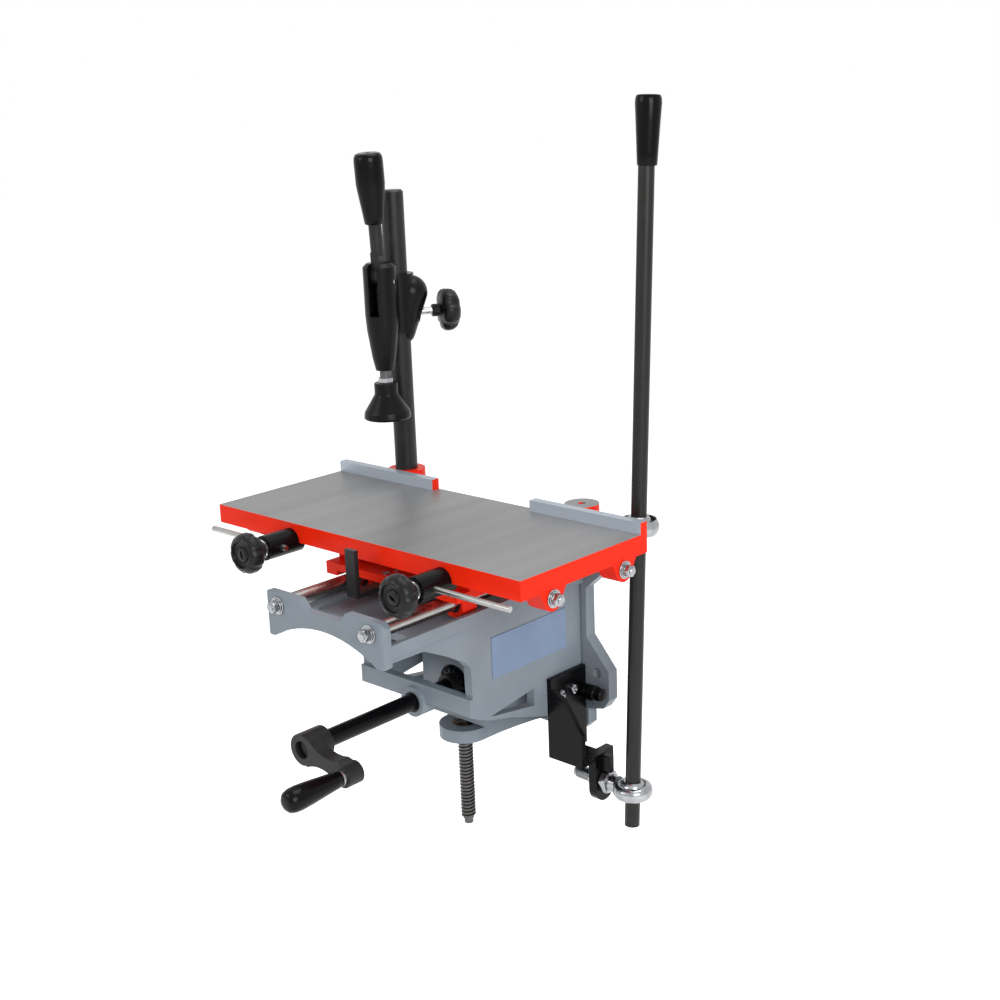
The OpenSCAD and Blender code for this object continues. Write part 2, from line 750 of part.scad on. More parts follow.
// Welded bracket that carries the lower rod end
module lever_bracket() {
    x0 = knee_half;
    x1 = x0 + bracket_w;
    low = ball_z + 28;
    y0 = knee_back - bracket_depth;
    ear_y = ear_mid - ear_r;
    color("black") difference() {
        union() {
            span([x0, y0, low], [x0 + bracket_t, knee_back, knee_low + 45]);
            front_slab(y0, bracket_t)
                polygon([[x0 + bracket_t - eps, knee_low + 34], [x1 - 24, knee_low + 26],
                         [x1, knee_low - 8], [x1, low], [x0 + bracket_t - eps, low]]);
            span([x0, bar_y, bar_z], [ball_x - 24, bar_y + bracket_t, bar_z + bar_h]);
            span([x0, y0, low - eps], [x1, bar_y + bracket_t, low + bracket_t]);
            side_slab(ear_in, ear_t) union() {
                translate([ear_mid, ear_z]) circle(ear_r);
                span2([ear_y, ear_z], [ear_mid + ear_r, low + bracket_t]);
            }
        }
        translate([0, ball_y, ball_z]) rod_x(shank_r + eps, ear_in - 1, ear_in + ear_t + 1);
        translate([0, lock_y, lock_z]) rod_x(stud_r + run_gap, x0 - 1, x0 + bracket_t + 1);
        for (y = bracket_screw_y) translate([0, y, bracket_screw_z])
            rod_x(bracket_screw_r + eps, x0 - 1, x0 + bracket_t + 1);
    }
}

// A rectangle given by its two corners
module span2(a, b) {
    translate(a) square(b - a);
}

module bracket_screws() {
    color("silver") for (y = bracket_screw_y) translate([0, y, bracket_screw_z]) {
        rod_x(bracket_screw_r, knee_half - wall_t + 1, knee_half + bracket_t);
        difference() {
            rod_x(bracket_screw_r + 2.5, knee_half + bracket_t, knee_half + bracket_t + 5);
            rod_x(bracket_screw_r - 0.5, knee_half + bracket_t + 2, knee_half + bracket_t + 6);
        }
    }
}

// A rod end at the origin: eye round Z, shank of the given length along -X
module rod_end(bore_r, is_round) {
    difference() {
        union() {
            translate([0, 0, -eye_t / 2]) cylinder(r = eye_r, h = eye_t);
            rod_x(shank_r, -shank_len, 0);
            rod_x(shank_r + 2.5, -eye_r - 6, -eye_r + 6);
        }
        if (is_round) sphere(bore_r);
        else translate([0, 0, -eye_t]) cylinder(r = bore_r, h = 2 * eye_t);
    }
}

// A hexagon nut along +X at the origin
module nut_x(hole_r, across, t) {
    rotate([0, 90, 0]) difference() {
        cylinder(r = across / sqrt(3), h = t, $fn = 6);
        translate([0, 0, -1]) cylinder(r = hole_r, h = t + 2);
    }
}

module lower_rod_end() {
    color("silver") translate([ball_x, ball_y, ball_z]) rod_end(ball_r + liner_t + 2 * run_gap, true);
}

module lower_rod_nuts() {
    color("gainsboro") for (x = [ear_in - rod_nut_t, ear_in + ear_t])
        translate([x, ball_y, ball_z]) nut_x(shank_r + eps, 24, rod_nut_t);
}

module lever_liner() {
    color("ivory") translate([ball_x, ball_y, ball_z]) difference() {
        intersection() {
            sphere(ball_r + liner_t + run_gap);
            cube([4 * ball_r, 4 * ball_r, eye_t - 4], center = true);
        }
        sphere(ball_r + run_gap);
    }
}

// Height drive

module spindle() {
    color("silver") translate([0, spindle_y, 0]) {
        translate([0, 0, spindle_low + 6])
            cylinder(r = spindle_r, h = knee_low - end_gap - spindle_low - 6);
        translate([0, 0, spindle_low]) cylinder(r = spindle_r - 3, h = 6 + eps);
        translate([0, 0, knee_low - end_gap - eps])
            cylinder(r = journal_r, h = crank_z - bevel_r + bevel_w - knee_low);
    }
}

// Outline of a bevel gear's big end
module bevel_outline() {
    tooth = 360 / bevel_teeth;
    tip = bevel_r + bevel_r * 0.09;
    root = bevel_r - bevel_r * 0.13;
    polygon([for (i = [0 : bevel_teeth - 1], p = [[-0.34, root], [-0.13, tip], [0.13, tip], [0.34, root]])
        [p[1] * cos((i + p[0]) * tooth), p[1] * sin((i + p[0]) * tooth)]]);
}

// A bevel gear along +Z with its apex at the origin and a hub of the given length
module bevel(hub, bore, start) {
    difference() {
        union() {
            translate([0, 0, -bevel_r]) rotate(start)
                linear_extrude(height = bevel_w, scale = (bevel_r - bevel_w) / bevel_r) bevel_outline();
            translate([0, 0, -bevel_r - hub]) cylinder(r = bevel_r * 0.8, h = hub + eps);
        }
        translate([0, 0, -bevel_r - hub - 1]) cylinder(r = bore, h = bevel_r + hub + 2);
    }
}

module spindle_bevel() {
    color("darkgray") translate([0, spindle_y, crank_z])
        bevel(crank_z - bevel_r - knee_low - shelf_t - bush_flange_t - end_gap, journal_r + eps, -90);
}

module crank_bevel() {
    color("darkgray") translate([0, spindle_y, crank_z]) rotate([-90, 0, 0])
        bevel(8, journal_r + eps, 90 + 180 / bevel_teeth);
}

module crank_shaft() {
    color("black") translate([0, 0, crank_z]) {
        rod_y(crank_shaft_r, crank_front + 4, spindle_y - bevel_r - 8);
        rod_y(journal_r, spindle_y - bevel_r - 8 - eps, spindle_y - bevel_r + bevel_w - 1);
    }
}

// The crank's web, waisted between its hub and its eye
module crank_web() {
    waist_r = 40;
    difference() {
        polygon([[0, crank_hub_r - 1], [crank_arm_len, crank_eye_r - 1],
                 [crank_arm_len, 1 - crank_eye_r], [0, 1 - crank_hub_r]]);
        for (s = [-1, 1]) translate([crank_arm_len * 0.54, s * (waist_r + 7)]) circle(waist_r);
    }
}

module crank_arm() {
    color("dimgray") translate([0, 0, crank_z]) rotate([0, crank_angle, 0]) difference() {
        union() {
            rod_y(crank_hub_r, crank_front, crank_front + crank_hub_len);
            front_slab(crank_front, crank_web_t) crank_web();
            translate([crank_arm_len, 0, 0]) rod_y(crank_eye_r, crank_eye_y, crank_eye_y + crank_eye_t);
        }
        rod_y(crank_shaft_r + eps, crank_front - 1, crank_front + crank_hub_len + 1);
        translate([crank_arm_len, 0, 0]) rod_y(axle_r + eps, crank_eye_y - 1, crank_eye_y + crank_eye_t + 1);
    }
}

module crank_axle() {
    color("silver") translate([0, 0, crank_z]) rotate([0, crank_angle, 0])
        translate([crank_arm_len, 0, 0]) {
            rod_y(axle_r, crank_eye_y - grip_len - 1, crank_eye_y + crank_eye_t - 1);
            rod_y(axle_r + 3, crank_eye_y - axle_collar, crank_eye_y - eps);
        }
}

module crank_grip() {
    color("black") translate([0, 0, crank_z]) rotate([0, crank_angle, 0])
        translate([crank_arm_len, crank_eye_y - axle_collar - end_gap, 0])
        rotate([90, 0, 0]) difference() {
            rotate_extrude() polygon([[0, 0], [grip_r - 4, 0], [grip_r - 3, 10], [grip_r, grip_len * 0.6],
                                      [grip_r, grip_len - 8], [grip_r - 4, grip_len - 1],
                                      [grip_r - 8, grip_len], [0, grip_len]]);
            translate([0, 0, -1]) cylinder(r = axle_r + run_gap, h = grip_len - 2);
        }
}

// Carriage

module carriage_bores(r) {
    for (y = x_rod_y) translate([0, y, x_rod_z]) rod_x(r, -carriage_w, carriage_w);
    for (s = [-1, 1]) translate([s * y_rod_x, 0, y_rod_z]) rod_y(r, carriage_front - 9, carriage_back + 9);
}

module carriage() {
    half = carriage_w / 2;
    color("crimson") difference() {
        union() {
            span([-half, carriage_front, carriage_top - carriage_t], [half, carriage_back, carriage_top]);
            for (s = [-1, 1], y = x_rod_y) {
                x = s > 0 ? half - boss_len : -half;
                translate([0, y, x_rod_z]) rod_x(boss_r, x, x + boss_len);
                span([x, y - boss_r + 1, carriage_top - eps], [x + boss_len, y + boss_r - 1, x_rod_z]);
            }
            span([-half, carriage_front, carriage_top - carriage_t - lip_t],
                 [lip_w - half, carriage_back, carriage_top]);
            for (s = [-1, 1], i = [0, 1]) intersection() {
                union() {
                    translate([s * y_rod_x, 0, y_rod_z])
                        rod_y(y_boss_r[i], y_boss_y[i], y_boss_y[i] + y_boss_len[i]);
                    span([s * y_rod_x - boss_r + 1, y_boss_y[i], y_rod_z],
                         [s * y_rod_x + boss_r - 1, y_boss_y[i] + y_boss_len[i], carriage_top - eps]);
                }
                span([-boss_side, carriage_front, drop(rail_drop + rail_h)],
                     [boss_side, carriage_back, carriage_top]);
            }
        }
        carriage_bores(bush_r + eps);
        for (y = tab_screw_y) translate([-tab_shift, y, carriage_top - carriage_t - 1])
            cylinder(r = tab_screw_r + eps, h = carriage_t + 2);
    }
}

module y_bushes() {
    color("peru") for (s = [-1, 1], i = [0, 1])
        translate([s * y_rod_x, 0, y_rod_z]) difference() {
            rod_y(bush_r, y_boss_y[i], y_boss_y[i] + y_boss_len[i]);
            rod_y(bush_bore, y_boss_y[i] - 1, y_boss_y[i] + y_boss_len[i] + 1);
        }
}

module x_bushes() {
    color("peru") for (s = [-1, 1], y = x_rod_y) {
        x = s > 0 ? carriage_w / 2 - boss_len : -carriage_w / 2;
        translate([0, y, x_rod_z]) difference() {
            rod_x(bush_r, x, x + boss_len);
            rod_x(bush_bore, x - 1, x + boss_len + 1);
        }
    }
}

// Bent flat bar that the stop rods run against
module stop_tab() {
    x0 = -tab_shift - tab_w / 2;
    color("dimgray") difference() {
        union() {
            span([x0, stop_y - tab_t / 2, tab_foot_z], [x0 + tab_w, stop_y + tab_t / 2, stop_z + tab_up]);
            span([x0, stop_y, tab_foot_z], [x0 + tab_w, tab_screw_y[1] + 8, tab_foot_z + tab_t]);
        }
        for (y = tab_screw_y) translate([-tab_shift, y, tab_foot_z - 1])
            cylinder(r = tab_screw_r + eps, h = tab_t + 2);
    }
}

module tab_screws() {
    color("silver") for (y = tab_screw_y) translate([-tab_shift, y, 0]) {
        translate([0, 0, tab_foot_z]) cylinder(r = tab_screw_r, h = tab_t + carriage_t + eps);
        translate([0, 0, carriage_top]) cylinder(r = tab_screw_r + 1.5, h = 1);
    }
}

// Table's rods and fittings

module x_rod(i) {
    color("silver") translate([0, x_rod_y[i], x_rod_z]) difference() {
        rod_x(rod_r, table_x - lug_in - rod_seat, table_x + lug_in + rod_seat);
        rod_x(rod_thread_r + eps, table_x - lug_in - rod_seat - 1,
              table_x - lug_in - rod_seat + rod_screw_len - 5);
        rod_x(rod_thread_r + eps, table_x + lug_in + rod_seat - rod_screw_len + 5,
              table_x + lug_in + rod_seat + 1);
    }
}

module x_rod_front() { x_rod(0); }
module x_rod_rear() { x_rod(1); }

module x_rod_screws() {
    color("gainsboro") for (s = [0, 1], y = x_rod_y)
        translate([table_x, y, x_rod_z]) rotate([0, 0, 180 * s])
            translate([table_len / 2, 0, 0]) end_screw();
}

module stop_block(x) {
    color("black") translate([x, 0, stop_z]) difference() {
        rod_y(stop_block_r, stop_rest, back(skirt_t));
        rod_y(stud_r + run_gap, stop_rest - 1, stop_y);
        translate([0, stop_y, 0]) rod_x(stop_rod_r + run_gap, -stop_block_r - 1, stop_block_r + 1);
    }
}

module stop_rod(x, side, len) {
    inner = x - side * (stop_block_r + stop_rod_inner);
    color("silver") translate([0, stop_y, stop_z])
        rod_x(stop_rod_r, min(inner, inner + side * len), max(inner, inner + side * len));
}

module stop_stud(x) {
    color("silver") translate([x, 0, stop_z]) {
        rod_y(stud_r, stop_rest - knob_neck - knob_t + knob_dish, stop_y - stop_rod_r - end_gap);
        rod_y(stud_r + 6, stop_rest - stud_flange, stop_rest - end_gap);
    }
}

module knob_plan(r, lobes) {
    difference() {
        circle(r);
        for (i = [0 : lobes - 1]) rotate((i + 0.5) * 360 / lobes)
            translate([r + 3.4, 0]) circle(6);
    }
}

// A lobed knob whose head starts at y0 and points along -Y
module lobed_knob(y0, r, t, neck, neck_r, bore, lobes) {
    difference() {
        union() {
            rod_y(neck_r, y0 - neck, y0);
            front_slab(y0 - neck - t, t) knob_plan(r, lobes);
        }
        rod_y(bore, y0 - neck - t + knob_dish, y0 + 1);
        rod_y(8, y0 - neck - t - 1, y0 - neck - t + knob_dish / 2);
    }
}

module stop_knob(x) {
    color("#3a3c3f") translate([x, 0, stop_z])
        lobed_knob(stop_rest - stud_flange, knob_r, knob_t, knob_neck - stud_flange, knob_neck_r,
                   stud_r + eps, knob_lobes);
}

module stop_block_left() { stop_block(table_x - stop_left_x); }
module stop_block_right() { stop_block(table_x + stop_right_x); }
module stop_rod_left() { stop_rod(table_x - stop_left_x, -1, stop_left_len); }
module stop_rod_right() { stop_rod(table_x + stop_right_x, 1, stop_right_len); }
module stop_stud_left() { stop_stud(table_x - stop_left_x); }
module stop_stud_right() { stop_stud(table_x + stop_right_x); }
module stop_knob_left() { stop_knob(table_x - stop_left_x); }
module stop_knob_right() { stop_knob(table_x + stop_right_x); }

module upper_rod_end() {
    reach = lever_y - back(table_depth + 1) - eps;
    color("silver") translate([lever_x, lever_y, eye_z]) difference() {
        union() {
            translate([0, 0, -eye_t / 2]) cylinder(r = eye_r, h = eye_t);
            rod_y(shank_r, -reach, 0);
        }
        translate([0, 0, -eye_t]) cylinder(r = ball_r + open_gap, h = 2 * eye_t);
    }
}

module upper_rod_nut() {
    color("gainsboro") translate([lever_x, back(table_back), eye_z]) difference() {
        rod_y(shank_r + 4, 0, 2.5);
        rod_y(shank_r + eps, -1, 4);
    }
}

module post_screw() {
    color("silver") translate([post_left, post_y, drop(socket_low / 2)]) {
        rod_x(stud_r, -socket_r - 1, -post_r - end_gap);
        rod_x(stud_r + 3, -socket_r - 7, -socket_r - end_gap);
    }
}

// Work clamp

module clamp_post() {
    color("#4a4a4a") translate([post_left, post_y, drop(socket_low)])
        rotate_extrude() polygon([[0, 0], [post_r, 0], [post_r, post_len - 2],
                                  [post_r - 2, post_len], [0, post_len]]);
}

module at_clamp() {
    translate([post_left, post_y, 0]) rotate(clamp_turn) children();
}

module clamp_body() {
    color("#141416") at_clamp() difference() {
        union() {
            translate([0, 0, sleeve_z - sleeve_h / 2]) cylinder(r = sleeve_r, h = sleeve_h);
            span([-10, -clamp_out, sleeve_z - sleeve_h / 2 + 4], [10, 0, sleeve_z + sleeve_h / 2 - 4]);
            translate([0, -clamp_out, clamp_z]) rotate_extrude()
                polygon([[0, 0], [clamp_r - 8, 0], [clamp_r - 5, 14], [clamp_r - 1, 44],
                         [clamp_r, 60], [clamp_r, clamp_h - 4], [clamp_r - 4, clamp_h], [0, clamp_h]]);
            rotate(clamp_knob_turn) {
                translate([0, 0, clamp_knob_z]) rod_x(12, 0, post_r + clamp_boss_len);
                hull() {
                    translate([15, 0, sleeve_z + 10]) sphere(lobe_r, $fn = 40);
                    translate([6, 0, sleeve_z - 34]) sphere(12, $fn = 24);
                }
            }
        }
        translate([0, 0, sleeve_z - sleeve_h]) cylinder(r = post_r + run_gap, h = 2 * sleeve_h);
        translate([0, -clamp_out, clamp_z - 1]) cylinder(r = plunger_r + run_gap, h = pivot_up);
        span([-slot_w / 2, -clamp_out - clamp_r - 1, clamp_z + 60],
             [slot_w / 2, -clamp_out + cam_r + 2, clamp_z + clamp_h + 1]);
        translate([0, -clamp_out, pivot_z]) rod_x(pin_r + eps, -clamp_r - 1, clamp_r + 1);
        rotate(clamp_knob_turn) translate([0, 0, clamp_knob_z])
            rod_x(stud_r + run_gap, 0, post_r + clamp_boss_len + lobe_r);
    }
}

module clamp_knob_screw() {
    color("silver") at_clamp() rotate(clamp_knob_turn) translate([0, 0, clamp_knob_z])
        rod_x(stud_r, post_r + end_gap, post_r + clamp_knob_out + clamp_knob_t - knob_dish);
}

module clamp_knob() {
    color("#3a3c3f") at_clamp() rotate(clamp_knob_turn + 90) translate([0, 0, clamp_knob_z])
        lobed_knob(8 - post_r - clamp_knob_out, clamp_knob_r, clamp_knob_t, 8, 9, stud_r + eps, 5);
}

module clamp_pivot_pin() {
    color("silver") at_clamp() translate([0, -clamp_out, pivot_z]) rod_x(pin_r, -clamp_r + 1, clamp_r - 1);
}

module at_clamp_lever() {
    at_clamp() translate([0, -clamp_out, pivot_z]) rotate([clamp_lean, 0, 0]) children();
}

module clamp_lever() {
    half = slot_w / 2 - end_gap;
    rod_from = clamp_h - pivot_up + 8;
    color("#2c2c2e") at_clamp_lever() difference() {
        union() {
            translate([0, 0, cam_throw]) rod_x(cam_r, -half, half);
            span([-half, -clamp_rod_r, 0], [half, clamp_rod_r, rod_from + 4]);
            translate([0, 0, rod_from]) cylinder(r = clamp_rod_r, h = clamp_lever_len - 10 - rod_from);
        }
        rod_x(pin_r + run_gap, -half - 1, half + 1);
    }
}

module clamp_lever_grip() {
    low = clamp_lever_len - clamp_grip_len;
    color("black") at_clamp_lever() translate([0, 0, low]) difference() {
        rotate_extrude() polygon([[0, 0], [clamp_rod_r + 3, 0],
                                  [clamp_grip_r - 1.5, clamp_grip_len * 0.35],
                                  [clamp_grip_r, clamp_grip_len * 0.8], [clamp_grip_r, clamp_grip_len - 5],
                                  [clamp_grip_r - 4, clamp_grip_len], [0, clamp_grip_len]]);
        translate([0, 0, -1]) cylinder(r = clamp_rod_r + eps, h = clamp_grip_len - 9 + eps);
    }
}

module plunger() {
    color("silver") at_clamp() translate([0, -clamp_out, foot_z + foot_floor])
        cylinder(r = plunger_r, h = plunger_top - foot_z - foot_floor);
}

module plunger_nut() {
    color("gainsboro") at_clamp() translate([0, -clamp_out, foot_z + foot_h + end_gap]) difference() {
        cylinder(r = 9, h = 5, $fn = 6);
        translate([0, 0, -1]) cylinder(r = plunger_r + eps, h = 7);
    }
}

module clamp_foot() {
    color("#141416") at_clamp() translate([0, -clamp_out, foot_z]) difference() {
        rotate_extrude() polygon([[0, 0], [foot_r - 1, 0], [foot_r, 2], [foot_r - 1, 8],
                                  [foot_r * 0.72, foot_h * 0.45],
                                  [13, foot_h * 0.68], [13, foot_h], [0, foot_h]]);
        translate([0, 0, foot_floor - end_gap]) cylinder(r = plunger_r + run_gap, h = foot_h);
    }
}

// Hand lever

module at_ball() {
    translate([ball_x, ball_y, ball_z]) rotate([-lever_lean_y, lever_lean_x, 0]) children();
}

module lever_rod() {
    color("#4a4a4a") at_ball() translate([0, 0, -lever_tail])
        cylinder(r = lever_r, h = lever_tail + lever_len);
}

module lever_grip() {
    color("black") at_ball() translate([0, 0, lever_len - lever_grip_len + 3]) difference() {
        rotate_extrude() polygon([[0, 0], [lever_r + 1, 0], [lever_grip_r - 1.5, 14],
                                  [lever_grip_r, lever_grip_len - 4], [lever_grip_r - 2, lever_grip_len],
                                  [0, lever_grip_len]]);
        translate([0, 0, -1]) cylinder(r = lever_r + eps, h = lever_grip_len - 2 + eps);
    }
}

module ball() {
    difference() {
        intersection() {
            sphere(ball_r);
            cube([4 * ball_r, 4 * ball_r, ball_w], center = true);
        }
        cylinder(r = lever_r + eps, h = 4 * ball_r, center = true);
    }
}

module lower_ball() {
    color("silver") at_ball() ball();
}

module upper_ball() {
    color("silver") at_ball()
        translate([0, 0, norm([lever_x - ball_x, lever_y - ball_y, eye_span])]) ball();
}

wall_plate();
spindle_nut();
knee_casting();
gib_strip();
height_lock();
y_rod_left();
y_rod_right();
y_rod_screws();
crank_bush();
spindle_bush();
label_plate();
lever_bracket();
bracket_screws();
lower_rod_end();
lower_rod_nuts();
lever_liner();
spindle();
spindle_bevel();
crank_shaft();
crank_bevel();
crank_arm();
crank_axle();
crank_grip();
carriage();
y_bushes();
x_bushes();
stop_tab();
tab_screws();
table();
x_rod_front();
x_rod_rear();
x_rod_screws();
stop_block_left();
stop_block_right();
stop_rod_left();
stop_rod_right();
stop_knob_left();
stop_knob_right();
stop_stud_left();
stop_stud_right();
upper_rod_end();
upper_rod_nut();
post_screw();
clamp_post();
clamp_body();
clamp_knob();
clamp_knob_screw();
clamp_pivot_pin();
clamp_lever();
clamp_lever_grip();
plunger();
plunger_nut();
clamp_foot();
lever_rod();
lever_grip();
lower_ball();
upper_ball();
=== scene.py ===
"""Looks of a slot mortising attachment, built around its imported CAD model."""

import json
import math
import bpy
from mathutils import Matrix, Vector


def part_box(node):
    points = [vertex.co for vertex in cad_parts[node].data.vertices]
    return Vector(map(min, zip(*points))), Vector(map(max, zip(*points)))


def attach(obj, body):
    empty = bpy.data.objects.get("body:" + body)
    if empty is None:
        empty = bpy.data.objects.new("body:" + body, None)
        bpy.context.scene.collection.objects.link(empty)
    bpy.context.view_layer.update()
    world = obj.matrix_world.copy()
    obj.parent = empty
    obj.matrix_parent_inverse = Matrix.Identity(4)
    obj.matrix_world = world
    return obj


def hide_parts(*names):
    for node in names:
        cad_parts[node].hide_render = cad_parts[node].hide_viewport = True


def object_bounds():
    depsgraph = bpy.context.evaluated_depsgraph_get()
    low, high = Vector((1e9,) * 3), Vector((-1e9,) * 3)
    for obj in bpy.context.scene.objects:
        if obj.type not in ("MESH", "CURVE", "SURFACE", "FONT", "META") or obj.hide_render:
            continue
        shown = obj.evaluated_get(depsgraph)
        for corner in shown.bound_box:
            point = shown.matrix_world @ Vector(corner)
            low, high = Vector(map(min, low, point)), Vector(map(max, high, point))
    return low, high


bl_info = {
    "name": "Slot Mortiser Looks",
    "version": (1, 0, 0),
    "blender": (4, 5, 0),
    "location": "3D View > Sidebar > Mortiser",
    "description": "Dresses the packed slot mortising attachment with its finishes and fittings",
    "category": "Object",
}

import bmesh
import bpy
from mathutils import Matrix, Vector

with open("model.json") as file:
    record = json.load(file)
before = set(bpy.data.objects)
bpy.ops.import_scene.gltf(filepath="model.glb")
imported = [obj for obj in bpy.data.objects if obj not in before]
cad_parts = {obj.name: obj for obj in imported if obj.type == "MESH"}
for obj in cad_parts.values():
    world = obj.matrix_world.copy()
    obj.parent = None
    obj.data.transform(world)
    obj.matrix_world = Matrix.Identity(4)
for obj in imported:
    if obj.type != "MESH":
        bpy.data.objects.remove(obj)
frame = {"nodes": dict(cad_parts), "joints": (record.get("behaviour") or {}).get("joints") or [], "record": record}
CAD_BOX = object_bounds()
NODES = frame["nodes"]
MM = 0.001
FULL_TURN = 2 * math.pi
NOISE_SPAN = (0.3, 0.7)  # the part of its range where a noise mostly stays
SHARP_DEG = 25  # faces of a turned or pressed form that meet at more than this get a round edge
WELD = 1e-6  # metres within which corners of a copied mesh are one
FLAT_DEG = 0.6  # faces of a copied mesh that meet at less than this are one flat face
POLE_WELD = 1e-7  # metres within which a turned form's corners on its axis are one
BRACKET_PLATE = 6  # millimetres of the lever bracket's plate
FLOOR_HALF = 12  # metres from the floor's middle to its sides
FLOOR_DROP = 0.12  # metres of air under the part, which hangs on a wall
LIT_POINT = Vector((0, -0.12, 0.1))
LAMPS = (  # name, place, side of its square in metres, watts
    ("key", (2.3, -1.2, 1.1), 1.3, 48),
    ("fill", (-1.2, -2.5, 1.6), 1.4, 24),
    ("top", (0.3, 0.4, 2.7), 1.6, 31),
)
CAMERA_PLACE_MM = Vector((1066.9, -1174.45, 547.6))
CAMERA_TURN = (0.758, 0.27, -0.039)  # azimuth, elevation and roll in radians
SENSOR_MM = 36
FOCAL_SHARE = 1.5231  # focal length over the sensor's width


def linear(code):
    """Turns an sRGB hex colour such as #FF2A15 into linear red, green and blue."""
    parts = [int(code[i:i + 2], 16) / 255 for i in (1, 3, 5)]
    return tuple(c / 12.92 if c <= 0.04045 else ((c + 0.055) / 1.055) ** 2.4 for c in parts)


def colour_prop(name, description, code):
    return bpy.props.FloatVectorProperty(
        name=name, description=description, subtype="COLOR", size=3, min=0, max=1,
        default=linear(code))


def size_prop(name, description, millimetres):
    return bpy.props.FloatProperty(
        name=name, description=description, subtype="DISTANCE", unit="LENGTH", min=0,
        default=millimetres * MM)


class MortiserColours(bpy.types.PropertyGroup):
    """Colours of the paints, metals and plastics"""

    red: colour_prop("Red enamel", "Gloss enamel of the table and the carriage", "#F52A0C")
    # Painted highlight: a lighter red that stands in for the light caught along the table's top edge
    red_edge_highlight: colour_prop("Edge highlight red", "Lighter red painted as a highlight along the table's top edge", "#F58A7C")
    grey: colour_prop("Grey enamel", "Blue-grey enamel of the knee and wall casting", "#828C95")
    iron: colour_prop("Machined iron", "Ground cast iron of the table top", "#868687")
    fence: colour_prop("Fence faces", "Machined faces of the fence ridges", "#A9B1BB")
    steel: colour_prop("Polished steel", "Guide rods and stop rods", "#A5A5A3")
    thread: colour_prop("Oiled thread", "The lifting spindle, dark with oil", "#5B5A59")
    zinc: colour_prop("Zinc plate", "Screws, nuts, washers and rod ends", "#A3A5A8")
    gunmetal: colour_prop("Blackened steel", "Dark steel of the post and hand lever", "#1D1C1B")
    bar: colour_prop("Blued bar", "Dark steel of the crank and the stop tab", "#222223")
    black: colour_prop("Black enamel", "Enamel of the bracket and the stop blocks", "#08080A")
    phenolic: colour_prop("Black grips", "Moulded grips of the levers and the crank", "#060607")
    knob: colour_prop("Knob plastic", "Moulded lobed knobs", "#141517")
    bronze: colour_prop("Bronze", "Bearing bushes and the spindle nut", "#7E6238")
    liner: colour_prop("Acetal liner", "Pale liner round the hand lever's lower ball", "#D8D4C8")
    label: colour_prop("Label plate", "Bare label plate on the knee's side", "#7B8FAC")


class MortiserSizes(bpy.types.PropertyGroup):
    """Sizes of the small forms that the looks add"""

    cast_round: size_prop("Casting edge", "Rounding along the edges of the castings", 1.3)
    sheet_round: size_prop("Bar edge", "Rounding along the edges of plate and bar", 0.7)
    plate_round: size_prop("Label edge", "Rounding along the edges of the thin label plate", 0.3)
    # Width of the bevel that carries the painted highlight along the table's top edge
    edge_highlight_width: size_prop("Edge highlight", "Width of the painted highlight along the table's top edge", 0.9)
    thread_pitch: size_prop("Spindle pitch", "Rise of the spindle's thread in one turn", 4.0)
    screw_pitch: size_prop("Screw pitch", "Rise of the lower rod end's thread in one turn", 1.5)


# Small tools


def add_node(tree, kind, settings=None, links=None):
    """Adds a node, sets its properties or socket values, and links other sockets into it."""
    node = tree.nodes.new(kind)
    for key, value in (settings or {}).items():
        if isinstance(key, str) and hasattr(node, key):
            setattr(node, key, value)
        else:
            node.inputs[key].default_value = value
    for key, socket in (links or {}).items():
        tree.links.new(socket, node.inputs[key])
    return node


def blank_material(name):
    """A new material with a Principled shader and an object-space place in millimetres."""
    material = bpy.data.materials.new(name)
    material.use_nodes = True
    tree = material.node_tree
    tree.nodes.clear()
    place = add_node(tree, "ShaderNodeTexCoord").outputs["Object"]
    millimetres = add_node(tree, "ShaderNodeMapping", {"Scale": (1 / MM,) * 3}, {"Vector": place})
    shader = add_node(tree, "ShaderNodeBsdfPrincipled")
    add_node(tree, "ShaderNodeOutputMaterial", links={"Surface": shader.outputs["BSDF"]})
    return material, tree, millimetres.outputs["Vector"], shader


def grain(tree, place, size_mm, detail=3.0, stretch=None):
    """Noise whose lumps are about size_mm across."""
    if stretch:
        mapping = add_node(tree, "ShaderNodeMapping", {"Scale": stretch}, {"Vector": place})
        place = mapping.outputs["Vector"]
    noise = add_node(tree, "ShaderNodeTexNoise",
                     {"Scale": 1 / size_mm, "Detail": detail, "Roughness": 0.55},
                     {"Vector": place})
    return noise.outputs["Fac"]


def spread(tree, factor, low, high):
    """Maps a noise onto the values from low to high."""
    least, most = NOISE_SPAN
    return add_node(tree, "ShaderNodeMapRange",
                    {"From Min": least, "From Max": most, "To Min": low, "To Max": high},
                    {"Value": factor}).outputs["Result"]


def shade(tree, factor, colour, dark, light):
    """A colour that runs between dark and light shares of itself."""
    ramp = add_node(tree, "ShaderNodeValToRGB", links={"Fac": factor})
    for element, position, share in zip(ramp.color_ramp.elements, NOISE_SPAN, (dark, light)):
        element.position = position
        element.color = tuple(min(1, c * share) for c in colour) + (1,)
    return ramp.outputs["Color"]


def relief(tree, height, depth_mm, normal=None):
    """A bump of the given real depth."""
    links = {"Height": height}
    if normal is not None:
        links["Normal"] = normal
    bump = add_node(tree, "ShaderNodeBump", {"Strength": 1.0, "Distance": depth_mm * MM}, links)
    return bump.outputs["Normal"]


# Finishes


def feed(tree, shader, colour, roughness, normal):
    """Links what a finish varies over its surface into its shader."""
    for key, socket in (("Base Color", colour), ("Roughness", roughness), ("Normal", normal)):
        tree.links.new(socket, shader.inputs[key])


